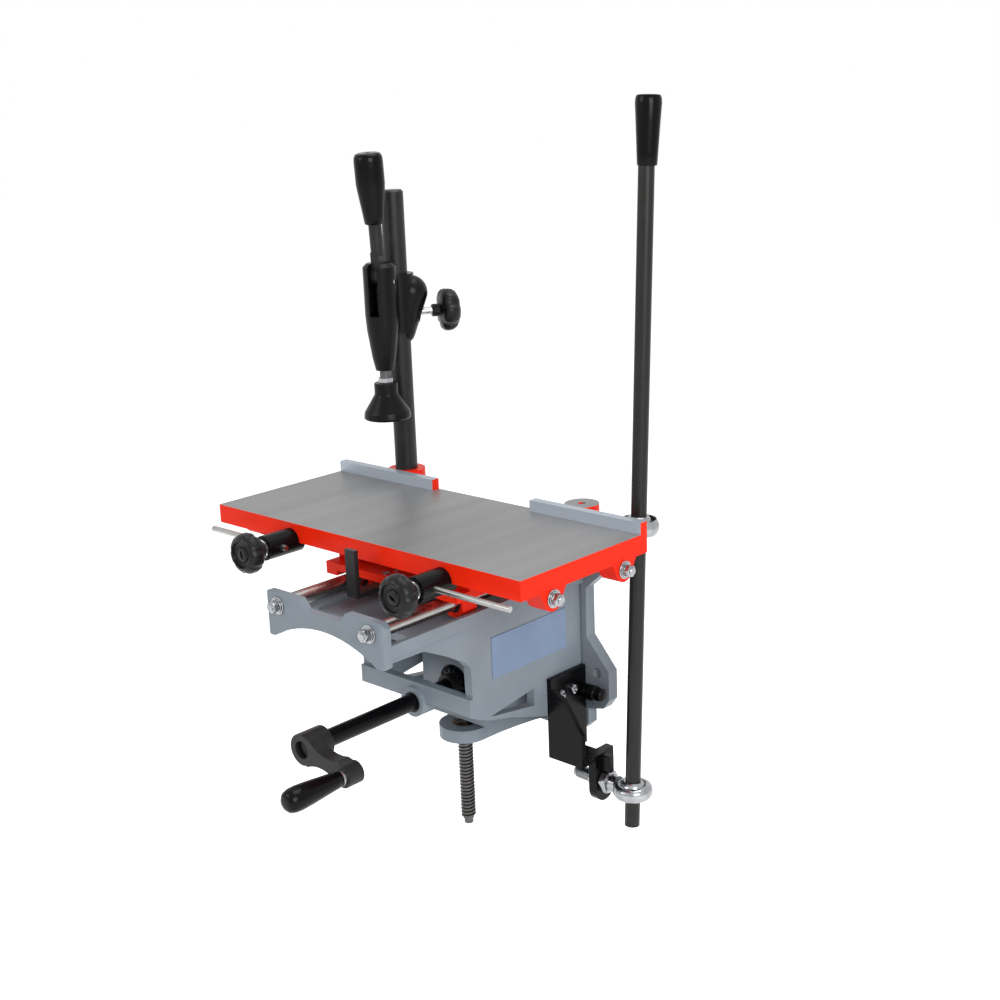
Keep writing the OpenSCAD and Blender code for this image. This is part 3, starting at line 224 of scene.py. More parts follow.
def cast_enamel(name, colour, gloss, lumps_mm, depth_mm, shine):
    """Enamel over a sand casting: the skin levels the sand but the casting's slow lumps stay."""
    material, tree, place, shader = blank_material(name)
    lumps = relief(tree, grain(tree, place, lumps_mm), depth_mm)
    fine = grain(tree, place, 1.6, 2.0)
    feed(tree, shader,
         shade(tree, grain(tree, place, 38, 2.0), colour, 0.94, 1.05),
         spread(tree, fine, gloss - 0.03, gloss + 0.05),
         relief(tree, fine, depth_mm * 0.05, lumps))
    shader.inputs["Specular IOR Level"].default_value = shine
    return material


def smooth_enamel(name, colour, gloss, shine, depth_mm=0.012):
    """Baked enamel on plate: an even skin with a faint orange peel."""
    material, tree, place, shader = blank_material(name)
    peel = grain(tree, place, 1.4, 1.0)
    feed(tree, shader,
         shade(tree, grain(tree, place, 24, 2.0), colour, 0.95, 1.05),
         spread(tree, peel, gloss - 0.04, gloss + 0.06),
         relief(tree, peel, depth_mm))
    shader.inputs["Specular IOR Level"].default_value = shine
    return material


def machined_iron(name, colour, stretch, sheen_bands_mm):
    """Ground cast iron: cutter lines, and broad soft bands of sheen painted into the colour.

    The lines are 0.8 mm wide, which is coarser than the real ones, so that they show.
    """
    material, tree, place, shader = blank_material(name)
    lines = grain(tree, place, 0.8, 2.0, stretch)
    sheen_bands = grain(tree, place, sheen_bands_mm, 1.0, stretch)
    pores = grain(tree, place, 2.2, 4.0)
    # Painted sheen: the broad bands lighten and darken the colour as a reflection would
    tone = add_node(tree, "ShaderNodeMix", {"data_type": "FLOAT", "Factor": 0.25},
                    {"A": sheen_bands, "B": lines})
    feed(tree, shader,
         shade(tree, tone.outputs["Result"], colour, 0.88, 1.12),
         spread(tree, pores, 0.38, 0.5),
         relief(tree, lines, 0.01))
    shader.inputs["Metallic"].default_value = 0.4
    return material


def ground_steel(name, colour, gloss, stretch):
    """Steel ground along its length: fine scratches in one direction.

    They are 0.5 mm wide, which is coarser than the real ones, so that they break up the gloss.
    """
    material, tree, place, shader = blank_material(name)
    scratches = grain(tree, place, 0.5, 3.0, stretch)
    feed(tree, shader,
         shade(tree, grain(tree, place, 17, 2.0), colour, 0.9, 1.06),
         spread(tree, scratches, gloss - 0.05, gloss + 0.1),
         relief(tree, scratches, 0.004))
    shader.inputs["Metallic"].default_value = 1.0
    return material


def blackened_steel(name, colour, gloss, stretch, shine):
    """Steel under a black oxide: a dark skin that keeps the bar's drawn lines."""
    material, tree, place, shader = blank_material(name)
    lines = grain(tree, place, 0.6, 3.0, stretch)
    feed(tree, shader,
         shade(tree, grain(tree, place, 14, 3.0), colour, 0.8, 1.2),
         spread(tree, lines, gloss - 0.05, gloss + 0.08),
         relief(tree, lines, 0.006))
    shader.inputs["Specular IOR Level"].default_value = shine
    return material


def bright_metal(name, colour, gloss):
    """Zinc plate or bearing bronze: an even crystalline sheen with slightly duller spots.

    The crystals are 1.1 mm across, which is coarser than the real ones, so that they show.
    """
    material, tree, place, shader = blank_material(name)
    crystals = grain(tree, place, 1.1, 3.0)
    feed(tree, shader,
         shade(tree, grain(tree, place, 7, 2.0), colour, 0.78, 1.1),
         spread(tree, crystals, gloss - 0.04, gloss + 0.08),
         relief(tree, crystals, 0.003))
    shader.inputs["Metallic"].default_value = 1.0
    return material


def moulded_plastic(name, colour, gloss, texture_mm, depth_mm, shine):
    """Moulded plastic: the mould's fine texture breaks up the gloss."""
    material, tree, place, shader = blank_material(name)
    texture = grain(tree, place, texture_mm, 3.0)
    feed(tree, shader,
         shade(tree, grain(tree, place, 12, 2.0), colour, 0.88, 1.12),
         spread(tree, texture, gloss - 0.05, gloss + 0.08),
         relief(tree, texture, depth_mm))
    shader.inputs["Specular IOR Level"].default_value = shine
    return material


def make_finishes(colours):
    """All the finishes, by the name of what they are."""
    return {
        "red": cast_enamel("gloss_red_enamel", colours.red, 0.34, 16, 0.05, 0.12),
        # Painted highlight: lighter red enamel for the light caught along the table's top edge
        "red_edge_highlight": cast_enamel("red_enamel_painted_highlight", colours.red_edge_highlight, 0.4, 9, 0.02, 0.2),
        "grey": cast_enamel("blue_grey_casting_enamel", colours.grey, 0.38, 7, 0.10, 0.3),
        "iron": machined_iron("ground_cast_iron", colours.iron, (1, 0.02, 1), 30),
        "fence": machined_iron("milled_fence_iron", colours.fence, (0.02, 1, 1), 14),
        "rod_x": ground_steel("ground_steel_along_x", colours.steel, 0.26, (0.04, 1, 1)),
        "rod_y": ground_steel("ground_steel_along_y", colours.steel, 0.26, (1, 0.04, 1)),
        "thread": ground_steel("oiled_thread_steel", colours.thread, 0.34, (1, 1, 1)),
        "zinc": bright_metal("bright_zinc_plate", colours.zinc, 0.2),
        "gunmetal": blackened_steel("blackened_drawn_steel", colours.gunmetal, 0.36,
                                    (1, 1, 0.03), 0.26),
        "dark_bar": blackened_steel("blued_steel_casting", colours.bar, 0.4, (1, 1, 1), 0.2),
        "black": smooth_enamel("black_baked_enamel", colours.black, 0.26, 0.12),
        "black_cast": cast_enamel("black_casting_enamel", colours.black, 0.3, 4, 0.12, 0.14),
        "phenolic": moulded_plastic("phenolic_grip", colours.phenolic, 0.2, 5, 0.012, 0.12),
        "knob": moulded_plastic("reinforced_nylon_knob", colours.knob, 0.34, 1.2, 0.03, 0.2),
        "bronze": bright_metal("bearing_bronze", colours.bronze, 0.36),
        "liner": moulded_plastic("acetal_liner", colours.liner, 0.4, 2, 0.01, 0.4),
        "label": smooth_enamel("bare_anodised_plate", colours.label, 0.36, 0.3, 0.005),
    }


FINISHES = {}  # filled by the first operator


# Shapes


def new_piece(name, bm, finishes, body, node_names, smooth_deg=32):
    """Turns a bmesh into a piece that rides on a body and stands for the named nodes."""
    bmesh.ops.recalc_face_normals(bm, faces=bm.faces)
    mesh = bpy.data.meshes.new(name)
    bm.to_mesh(mesh)
    bm.free()
    mesh.polygons.foreach_set("use_smooth", [True] * len(mesh.polygons))
    mesh.set_sharp_from_angle(angle=math.radians(smooth_deg))
    piece = bpy.data.objects.new(name, mesh)
    bpy.context.scene.collection.objects.link(piece)
    for finish in finishes:
        mesh.materials.append(FINISHES[finish])
    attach(piece, body)
    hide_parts(*node_names)
    return piece


def along(origin, direction, turn=0.0):
    """A place whose own Z runs along the direction, turned about it."""
    aim = Vector(direction).to_track_quat("Z", "Y").to_matrix().to_4x4()
    return Matrix.Translation(Vector(origin)) @ aim @ Matrix.Rotation(turn, 4, "Z")


def soften(bm, faces, width_mm, segments=3):
    """Rounds the sharp edges among the faces."""
    chosen = set(faces)
    edges = [e for e in bm.edges if len(e.link_faces) == 2 and chosen.issuperset(e.link_faces)
             and e.calc_face_angle(0) > math.radians(SHARP_DEG)]
    bmesh.ops.bevel(bm, geom=edges, offset=width_mm * MM, segments=segments, profile=0.5,
                    affect="EDGES", material=-1, clamp_overlap=True)


def since(bm, before):
    """The faces made since the set of faces was taken."""
    return [f for f in bm.faces if f not in before]


def move(bm, faces, place):
    bmesh.ops.transform(bm, matrix=place, verts=list({v for f in faces for v in f.verts}))


def raised(place, height_mm):
    """The place moved along its own Z."""
    return place @ Matrix.Translation((0, 0, height_mm * MM))


def spun(bm, profile_mm, closed, place, steps, round_mm):
    """Spins a profile of radius and height in millimetres once round the place's Z axis."""
    before = set(bm.faces)
    verts = [bm.verts.new((r * MM, 0, z * MM)) for r, z in profile_mm]
    starts = verts[-1:] + verts[:-1] if closed else verts[:-1]
    edges = [bm.edges.new(pair) for pair in zip(starts, verts if closed else verts[1:])]
    bmesh.ops.spin(bm, geom=verts + edges, cent=(0, 0, 0), axis=(0, 0, 1), angle=FULL_TURN,
                   steps=steps, use_merge=True, use_duplicate=False)
    if not closed:
        corners = list({v for f in since(bm, before) for v in f.verts})
        bmesh.ops.remove_doubles(bm, verts=corners, dist=POLE_WELD)
    bmesh.ops.recalc_face_normals(bm, faces=since(bm, before))
    if round_mm:
        soften(bm, since(bm, before), round_mm)
    faces = since(bm, before)
    move(bm, faces, place)
    return faces


def turned(bm, profile_mm, place, steps=64, round_mm=0.0):
    """Spins a profile that starts and ends on the axis into a closed solid."""
    return spun(bm, profile_mm, False, place, steps, round_mm)


def turned_ring(bm, profile_mm, place, steps=64, round_mm=0.0):
    """Spins a closed profile that stays off the axis, such as a washer's or an eye's."""
    spun(bm, profile_mm, True, place, steps, round_mm)


def ring(bm, inner_mm, outer_mm, height_mm, place, round_mm=0.4):
    """A washer or collar with rounded rims."""
    turned_ring(bm, [(inner_mm, 0), (outer_mm, 0), (outer_mm, height_mm), (inner_mm, height_mm)],
                place, round_mm=round_mm)


def lobes(faces, count, depth_mm, from_mm, full_mm, width):
    """Presses hollows into the rim of a turned head, before it is moved to its place.

    They start at the first radius and are full at the second. Width is their share of the rim.
    """
    for vert in {v for f in faces for v in f.verts}:
        radius = math.hypot(vert.co.x, vert.co.y) / MM
        share = min(1, max(0, (radius - from_mm) / (full_mm - from_mm)))
        crest = math.cos(count * math.atan2(vert.co.y, vert.co.x))
        wave = max(0, crest - 1 + 2 * width) / (2 * width)
        scale = 1 - share * wave * depth_mm / max(radius, 1)
        vert.co.x *= scale
        vert.co.y *= scale


def hexagon(bm, flats_mm, height_mm, place, round_mm):
    """A hexagon head or nut body with eased corners."""
    before = set(bm.faces)
    made = bmesh.ops.create_circle(bm, cap_ends=True, segments=6,
                                   radius=flats_mm / math.sqrt(3) * MM)
    cap = list({f for v in made["verts"] for f in v.link_faces})
    grown = bmesh.ops.extrude_face_region(bm, geom=cap)
    tops = [v for v in grown["geom"] if isinstance(v, bmesh.types.BMVert)]
    bmesh.ops.translate(bm, vec=(0, 0, height_mm * MM), verts=tops)
    bmesh.ops.recalc_face_normals(bm, faces=since(bm, before))
    soften(bm, since(bm, before), round_mm, 2)
    move(bm, since(bm, before), place)


def thread(bm, root_mm, crest_mm, pitch_mm, turns, place, steps_per_turn=24):
    """The raised ridge of a screw thread, wound up the place's Z axis over a core."""
    before = set(bm.faces)
    half, tip, sunk = pitch_mm * 0.36, pitch_mm * 0.12, root_mm - 0.15
    section = [(sunk, -half), (crest_mm, -tip), (crest_mm, tip), (sunk, half)]
    verts = [bm.verts.new((r * MM, 0, z * MM)) for r, z in section]
    face = bm.faces.new(verts)
    steps = int(steps_per_turn * turns)
    bmesh.ops.spin(bm, geom=verts + list(face.edges) + [face], cent=(0, 0, 0), axis=(0, 0, 1),
                   dvec=(0, 0, pitch_mm * turns / steps * MM), angle=FULL_TURN * turns,
                   steps=steps, use_merge=False, use_duplicate=False)
    faces = since(bm, before)
    bmesh.ops.recalc_face_normals(bm, faces=faces)
    move(bm, faces, place)


def merged_copy(node):
    """The node's own mesh in a bmesh, joined up and with its flat faces made whole."""
    mesh = NODES[node].data.copy()
    if "custom_normal" in mesh.attributes:
        mesh.attributes.remove(mesh.attributes["custom_normal"])
    bm = bmesh.new()
    bm.from_mesh(mesh)
    bpy.data.meshes.remove(mesh)
    bmesh.ops.remove_doubles(bm, verts=bm.verts, dist=WELD)
    bmesh.ops.dissolve_limit(bm, angle_limit=math.radians(FLAT_DEG), verts=bm.verts,
                             edges=bm.edges)
    for face in bm.faces:
        face.material_index = 0
    return bm


def softened(node, width, finishes, body, paint=None, least_deg=35):
    """A copy of a node with eased edges. paint may give faces other finishes first."""
    bm = merged_copy(node)
    bmesh.ops.recalc_face_normals(bm, faces=bm.faces)
    if paint:
        paint(bm)
    piece = new_piece(node + "_softened", bm, finishes, body, [node])
    modifier = piece.modifiers.new("eased edges", "BEVEL")
    modifier.width = width
    modifier.segments = 2
    modifier.limit_method = "ANGLE"
    modifier.angle_limit = math.radians(least_deg)
    modifier.harden_normals = True


def wear(node, finish):
    """Gives its finish to a node that keeps its own shape."""
    mesh = NODES[node].data
    mesh.materials.clear()
    mesh.materials.append(FINISHES[finish])


def middle(node):
    low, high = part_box(node)
    return (low + high) / 2


def joint_place(name):
    """Where a joint's axis passes, and its direction."""
    joint = next(j for j in frame["joints"] if j["name"] == name)
    return Vector(joint["pos_m"]), Vector(joint["axis"])


# Pieces


class MORTISER_OT_finishes(bpy.types.Operator):
    """Makes every paint, metal and plastic finish"""

    bl_idname = "mortiser.finishes"
    bl_label = "Finishes"

    def execute(self, context):
        FINISHES.update(make_finishes(context.scene.mortiser_colours))
        return {"FINISHED"}


class MORTISER_OT_wall_casting(bpy.types.Operator):
    """Eases the wall casting's edges and dresses its nut"""

    bl_idname = "mortiser.wall_casting"
    bl_label = "Wall casting"

    def execute(self, context):
        sizes = context.scene.mortiser_sizes
        softened("wall_plate", sizes.cast_round, ["grey"], "wall_mount")
        softened("spindle_nut", sizes.sheet_round, ["bronze"], "wall_mount")
        return {"FINISHED"}


class MORTISER_OT_knee(bpy.types.Operator):
    """Eases the knee casting and adds its label plate and bushes"""

    bl_idname = "mortiser.knee"
    bl_label = "Knee casting"

    def execute(self, context):
        sizes = context.scene.mortiser_sizes
        softened("knee_casting", sizes.cast_round, ["grey"], "knee")
        wear("gib_strip", "thread")
        wear("crank_bush", "dark_bar")
        wear("spindle_bush", "bronze")
        softened("label_plate", sizes.plate_round, ["label"], "knee")
        return {"FINISHED"}


class MORTISER_OT_guide_rods(bpy.types.Operator):
    """Turns the four guide rods and their end screws"""

    bl_idname = "mortiser.guide_rods"
    bl_label = "Guide rods"

    def rod(self, node, axis, finish, body):
        """A guide rod along one axis, with its ends eased by a millimetre."""
        low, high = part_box(node)
        length = (high - low)[axis] / MM
        start = middle(node)
        start[axis] = low[axis]
        direction = Vector((0, 0, 0))
        direction[axis] = 1
        radius = (high.z - low.z) / 2 / MM
        bm = bmesh.new()
        turned(bm, [(0, 0), (radius - 1, 0), (radius, 1), (radius, length - 1),
                    (radius - 1, length), (0, length)], along(start, direction), 72)
        new_piece(node + "_turned", bm, [finish], body, [node])

    def screw(self, bm, at, direction, turn):
        """Washer, spring washer, hexagon head and stud end, as the photograph shows them."""
        place = along(at, direction, turn)
        bore, head, stud = 4.2, 2.9, 8.9
        ring(bm, bore, 9, 1.6, place)
        ring(bm, bore, 7.4, 1.2, raised(place, 1.7), 0.25)
        hexagon(bm, 11.2, 6.2, raised(place, head), 0.7)
        turned(bm, [(0, stud), (4, stud), (4, stud + 1.3), (3.4, stud + 2), (0, stud + 2)],
               place, 32)

    def execute(self, context):
        self.rod("x_rod_front", 0, "rod_x", "work_table")
        self.rod("x_rod_rear", 0, "rod_x", "work_table")
        self.rod("y_rod_left", 1, "rod_y", "knee")
        self.rod("y_rod_right", 1, "rod_y", "knee")
        bm = bmesh.new()
        table_low, table_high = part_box("table")
        for index, node in enumerate(("x_rod_front", "x_rod_rear")):
            at = middle(node)
            self.screw(bm, (table_high.x, at.y, at.z), (1, 0, 0), 0.3 + index)
            self.screw(bm, (table_low.x, at.y, at.z), (-1, 0, 0), 0.8 * index)
        new_piece("table_rod_hex_screws", bm, ["zinc"], "work_table", ["x_rod_screws"])
        bm = bmesh.new()
        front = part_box("knee_casting")[0].y
        for index, node in enumerate(("y_rod_left", "y_rod_right")):
            at = middle(node)
            self.screw(bm, (at.x, front, at.z), (0, -1, 0), 0.2 + 0.5 * index)
        new_piece("knee_rod_hex_screws", bm, ["zinc"], "knee", ["y_rod_screws"])
        return {"FINISHED"}


class MORTISER_OT_height_drive(bpy.types.Operator):
    """Cuts the spindle's thread and shapes the crank"""

    bl_idname = "mortiser.height_drive"
    bl_label = "Crank and spindle"

    def execute(self, context):
        sizes = context.scene.mortiser_sizes
        self.spindle(sizes.thread_pitch / MM)
        wear("spindle_bevel", "dark_bar")
        wear("crank_bevel", "dark_bar")
        wear("crank_axle", "zinc")
        softened("crank_arm", sizes.cast_round, ["dark_bar"], "crank")
        wear("crank_shaft", "black")
        self.grip()
        self.lock()
        return {"FINISHED"}

    def spindle(self, pitch):
        """The lifting spindle: a turned-down tip, its thread, and a plain neck in the knee."""
        low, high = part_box("spindle")
        centre = middle("spindle")
        radius = (high.x - low.x) / 2 / MM
        core = radius - 1.6
        threaded = (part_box("knee_casting")[0].z - low.z) / MM - 0.3
        total = (high.z - low.z) / MM
        place = along((centre.x, centre.y, low.z), (0, 0, 1))
        bm = bmesh.new()
        turned(bm, [(0, 0), (4.4, 0), (5, 0.6), (5, 6), (radius - 2, 6.2), (core, threaded),
                    (radius, threaded), (6, threaded), (6, total), (0, total)], place, 48)
        turns = (threaded - 8 - pitch) / pitch
        thread(bm, core, radius, pitch, turns, raised(place, 8.5), 28)
        new_piece("lifting_spindle_threaded", bm, ["thread"], "lift_screw", ["spindle"])

    def grip(self):
        """The crank's turning grip: a slim neck, a full belly and a domed end, bored blind."""
        low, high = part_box("crank_grip")
        at = middle("crank_grip")
        length = (high.y - low.y) / MM
        radius = (high.z - low.z) / 2 / MM
        bore = 5.1
        profile = [(bore, 0), (radius - 4.4, 0), (radius - 3.8, 1.5),
                   (radius - 3.4, length * 0.14), (radius - 2.2, length * 0.34),
                   (radius - 0.8, length * 0.58), (radius, length * 0.76),
                   (radius - 0.3, length * 0.87), (radius - 1.8, length * 0.95),
                   (radius - 4.4, length * 0.99), (radius - 8, length), (0, length),
                   (0, length - 2), (bore, length - 2)]
        bm = bmesh.new()
        turned(bm, profile, along((at.x, high.y, at.z), (0, -1, 0)))
        new_piece("crank_grip_turned", bm, ["phenolic"], "crank_handle", ["crank_grip"],
                  50)

    def lock(self):
        """The height lock screw: a plain shank, a collar, a waist and a domed end."""
        at, axis = joint_place("height_lock_spin")
        low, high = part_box("height_lock")
        inside = (at.x - low.x) / MM
        gap = 0.4
        head = (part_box("lever_bracket")[0].x - at.x) / MM + BRACKET_PLATE + gap
        end = (high.x - at.x) / MM
        bm = bmesh.new()
        turned(bm, [(0, -inside), (4, -inside), (4, head), (6.6, head), (7, head + 1),
                    (7, head + 4), (8.4, head + 5), (8.4, end - 12), (7.4, end - 10.6),
                    (5.6, end - 10.4), (5.6, end - 8.6), (7.2, end - 8), (7.2, end - 3),
                    (6, end - 1.6), (4.4, end - 1.2), (4.4, end - 0.2), (3.8, end), (0, end)],
               along(at, axis), 48, 0.3)
        new_piece("height_lock_screw", bm, ["black"], "lock_screw", ["height_lock"])


class MORTISER_OT_hand_lever(bpy.types.Operator):
    """Shapes the hand lever, its bracket and its two rod ends"""

    bl_idname = "mortiser.hand_lever"
    bl_label = "Hand lever"

    def execute(self, context):
        sizes = context.scene.mortiser_sizes
        softened("lever_bracket", sizes.sheet_round, ["black"], "knee")
        ball = joint_place("lever_side")[0]
        self.lower_end(ball, sizes.screw_pitch / MM)
        self.nuts(ball)
        self.upper_end()
        wear("upper_rod_nut", "zinc")
        wear("lever_liner", "liner")
        wear("lower_ball", "zinc")
        wear("upper_ball", "zinc")
        wear("lever_rod", "gunmetal")
        self.screws()
        self.grip(ball)
        return {"FINISHED"}

    def eye(self, bm, at, bore_mm, seat_mm):
        """The rounded eye of a rod end, hollowed from its bore to the seat for its ball."""
        low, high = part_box("lower_rod_end")
        half = 7.5
        outer = (high.y - low.y) / 2 / MM
        rim = max(outer - 4.5, bore_mm + 0.8)
        turned_ring(bm, [(bore_mm, -half), (rim, -half), (outer - 1.8, -half * 0.78),
                         (outer - 0.4, -half * 0.42), (outer, 0), (outer - 0.4, half * 0.42),
                         (outer - 1.8, half * 0.78), (rim, half), (bore_mm, half),
                         (seat_mm, half * 0.5), (seat_mm, -half * 0.5)], along(at, (0, 0, 1)), 80)

    def lower_end(self, at, pitch):
        """The forged lower rod end: eye, necked root and threaded shank through the bracket."""
        low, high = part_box("lower_rod_end")
        reach = max(abs(low.x - at.x), abs(high.x - at.x)) / MM
        root, core = 19.2, 6.3
        nut = (at.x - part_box("lower_rod_nuts")[1].x) / MM
        place = along(at, (-1, 0, 0))
        bm = bmesh.new()
        self.eye(bm, at, 14.1, 15.4)
        turned(bm, [(0, root), (9.4, root), (9.2, root + 2), (9.6, root + 5), (9.6, nut - 0.6),
                    (7, nut), (core, nut + 0.8), (core, reach - 4), (5.6, reach - 1.6),
                    (4, reach - 0.4), (0, reach)], place, 48)
        thread(bm, core, 7, pitch, (reach - nut - 7) / pitch, raised(place, nut + 2))
        new_piece("lower_rod_end_forged", bm, ["zinc"], "knee", ["lower_rod_end"], 40)

    def nuts(self, ball):
        """The big nut outside the bracket's ear and the small one inside it."""
        low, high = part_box("lower_rod_nuts")
        outer = (high.x - ball.x) / MM
        inner = (low.x - ball.x) / MM
        thick = 9.9
        bm = bmesh.new()
        place = along(ball, (1, 0, 0), 0.3)
        hexagon(bm, 23.4, thick, raised(place, outer - thick), 1.8)
        hexagon(bm, 18.5, 6, raised(place, inner + 4), 1.2)
        new_piece("rod_end_nuts", bm, ["zinc"], "knee", ["lower_rod_nuts"])

    def upper_end(self):
        """The upper rod end, whose shank points at the table. Its wide bore has no ball seat."""
        low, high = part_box("upper_rod_end")
        outer = (high.x - low.x) / 2
        at = Vector(((low.x + high.x) / 2, high.y - outer, (low.z + high.z) / 2))
        reach = (at.y - low.y) / MM
        bore = 17.8
        bm = bmesh.new()
        self.eye(bm, at, bore, bore)
        turned(bm, [(0, 19.4), (8, 19.4), (7.4, 21), (7, 22.4), (7, reach), (0, reach)],
               along(at, (0, -1, 0)), 48)
        new_piece("upper_rod_end_forged", bm, ["zinc"], "work_table", ["upper_rod_end"],
                  40)

    def screws(self):
        """Domed socket screws that hold the bracket."""
        low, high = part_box("bracket_screws")
        radius = (high.z - low.z) / 2
        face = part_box("lever_bracket")[0].x + BRACKET_PLATE * MM
        shank = (low.x - face) / MM
        bm = bmesh.new()
        profile = [(0, shank), (3, shank), (3, 0), (5.5, 0), (5.5, 2.8), (4.8, 4.2), (3.4, 5),
                   (2.5, 5), (2.5, 3), (0, 3)]
        for y in (low.y + radius, high.y - radius):
            turned(bm, profile, along((face, y, high.z - radius), (1, 0, 0)), 48)
        new_piece("bracket_dome_screws", bm, ["zinc"], "knee", ["bracket_screws"])

    def grip(self, ball):
        """The black grip at the top of the hand lever, thicker towards its end."""
        low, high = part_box("lever_grip")
        centre = (low + high) / 2
        lean = (centre - ball).normalized()
        tilted_ends = 1.4  # what the leaning end faces add to the height
        length = ((high.z - low.z) / MM - tilted_ends) / lean.z
        start = centre - lean * (length / 2 * MM)
        bore = 8.05
        bm = bmesh.new()
        turned(bm, [(bore, 0), (9, 0), (9.8, 1.4), (10.4, length * 0.2), (11.8, length * 0.6),
                    (12.9, length * 0.88), (12.6, length * 0.95), (11.4, length - 0.6),
                    (9.6, length), (0, length), (0, length - 2), (bore, length - 2)],
               along(start, lean))
        new_piece("hand_lever_grip", bm, ["phenolic"], "hand_lever", ["lever_grip"],
                  40)


class MORTISER_OT_carriage(bpy.types.Operator):
    """Eases the cross carriage and its stop tab"""

    bl_idname = "mortiser.carriage"
    bl_label = "Cross carriage"

    def execute(self, context):
        sizes = context.scene.mortiser_sizes
        softened("carriage", sizes.cast_round, ["red"], "cross_carriage")
        softened("stop_tab", sizes.sheet_round, ["dark_bar"], "cross_carriage")
        wear("y_bushes", "dark_bar")
        wear("x_bushes", "bronze")
        wear("tab_screws", "zinc")
        return {"FINISHED"}


def paint_table(bm):
    """Gives the table's faces their finishes, by their index in the piece's list.

    0 is the enamel of the sides and the socket, 1 the machined top and the spare boss, 2 the
    fence ridges and 3 a painted highlight: a lighter red line where the top meets the enamel in front.
    """
    ridge_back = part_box("upper_rod_nut")[0].y
    tops = [f for f in bm.faces if f.normal.z > 0.9]
    geom = list({g for f in tops for g in (f, *f.edges, *f.verts)})
    bmesh.ops.bisect_plane(bm, geom=geom, dist=WELD, plane_co=(0, ridge_back + 0.02 * MM, 0),
                           plane_no=(0, 1, 0))
    table_top = next(m["pos_m"][2] for m in frame["record"]["mounts"] if m["name"] == "table_top")
    for face in bm.faces:
        centre = face.calc_center_median()
        upward = face.normal.z > 0.9
        if upward and abs(centre.z - table_top) < 0.2 * MM:
            face.material_index = 1
        elif centre.z > table_top and (upward or face.normal.y < -0.9):
            boss_or_socket = 1 if centre.x > 0 else 0
            face.material_index = boss_or_socket if centre.y > ridge_back else 2
    edges = [e for e in bm.edges if len(e.link_faces) == 2
             and sorted(f.material_index for f in e.link_faces) == [0, 1]
             and e.calc_face_angle(0) > 1]
    # The new bevel faces take finish 3, the painted highlight along the top edge
    bmesh.ops.bevel(bm, geom=edges, offset=bpy.context.scene.mortiser_sizes.edge_highlight_width, segments=1,
                    profile=0.5, affect="EDGES", material=3, clamp_overlap=True)


class MORTISER_OT_table(bpy.types.Operator):
    """Dresses the table's enamel and machined faces"""

    bl_idname = "mortiser.table"
    bl_label = "Table"

    def execute(self, context):
        sizes = context.scene.mortiser_sizes
        # The fourth finish is the painted highlight along the table's top edge
        softened("table", sizes.cast_round, ["red", "iron", "fence", "red_edge_highlight"], "work_table",
                 paint_table)
        wear("post_screw", "zinc")
        return {"FINISHED"}


class MORTISER_OT_stops(bpy.types.Operator):
    """Dresses the two travel stops"""

    bl_idname = "mortiser.stops"
    bl_label = "Travel stops"

    def execute(self, context):
        sizes = context.scene.mortiser_sizes
        for side in ("left", "right"):
            softened("stop_block_" + side, sizes.cast_round, ["black"], "work_table")
            self.knob(side)
            self.collar(side)
            wear("stop_rod_" + side, "rod_x")
        return {"FINISHED"}

    def knob(self, side):
        """A lobed knob with a raised rim, a dished face and a slotted hub."""
        node = "stop_knob_" + side
        low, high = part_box(node)
        at = Vector(((low.x + high.x) / 2, high.y, (low.z + high.z) / 2))
        radius = (high.z - low.z) / 2 / MM
        length = (high.y - low.y) / MM
        bm = bmesh.new()
        faces = turned(bm, [
            (4.1, 0), (9.2, 0), (10, 0.8), (10, 3.6), (9.2, 5.4), (9.6, 7), (12.4, 8.2),
            (radius - 3.6, 9.2), (radius - 1.2, 11), (radius, 14), (radius, 19),
            (radius - 1, 22.6), (radius - 3, 25), (radius - 5.2, length - 0.4),
            (radius - 6.4, length), (radius - 7.2, length - 0.5), (radius - 8, length - 3.2),
            (10.6, length - 4.2), (8.4, length - 3.8), (7.6, length - 2.2), (6.4, length - 1.6),
            (2.6, length - 1.6), (2.4, length - 6.4), (0, length - 6.4)], Matrix.Identity(4), 112)
        lobes(faces, 7, 0.9, 12, radius - 2, 0.3)
        self.slot_hub(faces)
        move(bm, faces, along(at, (0, -1, 0), 0.3 if side == "left" else 1.1))
        new_piece(node + "_lobed", bm, ["knob"], side + "_stop_screw", [node], 38)

    def slot_hub(self, faces):
        """Draws the hub's round hole out into a slot."""
        hole = 2.7 * MM
        for vert in {v for f in faces for v in f.verts}:
            if math.hypot(vert.co.x, vert.co.y) < hole:
                vert.co.x *= 0.7
                vert.co.y *= 1.8

    def collar(self, side):
        """The knob's screw with a knurled collar between the knob and the block."""
        node = "stop_stud_" + side
        low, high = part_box(node)
        knob_low, knob_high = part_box("stop_knob_" + side)
        centre = (knob_low + knob_high) / 2
        outer = (high.z - low.z) / 2 / MM
        total = (high.y - low.y) / MM
        thick = 3
        bm = bmesh.new()
        turned(bm, [(0, 0), (4, 0), (4, total), (0, total)],
               along((centre.x, high.y, centre.z), (0, -1, 0)), 40)
        faces = turned(bm, [(0, 0), (outer - 0.6, 0), (outer, 0.5), (outer, thick - 0.5),
                            (outer - 0.6, thick), (0, thick)], Matrix.Identity(4), 120)
        lobes(faces, 30, 0.7, outer - 1.5, outer, 0.5)
        move(bm, faces, along((centre.x, knob_high.y + thick * MM, centre.z), (0, -1, 0)))
        new_piece(node + "_knurled", bm, ["zinc"], side + "_stop_screw", [node], 25)


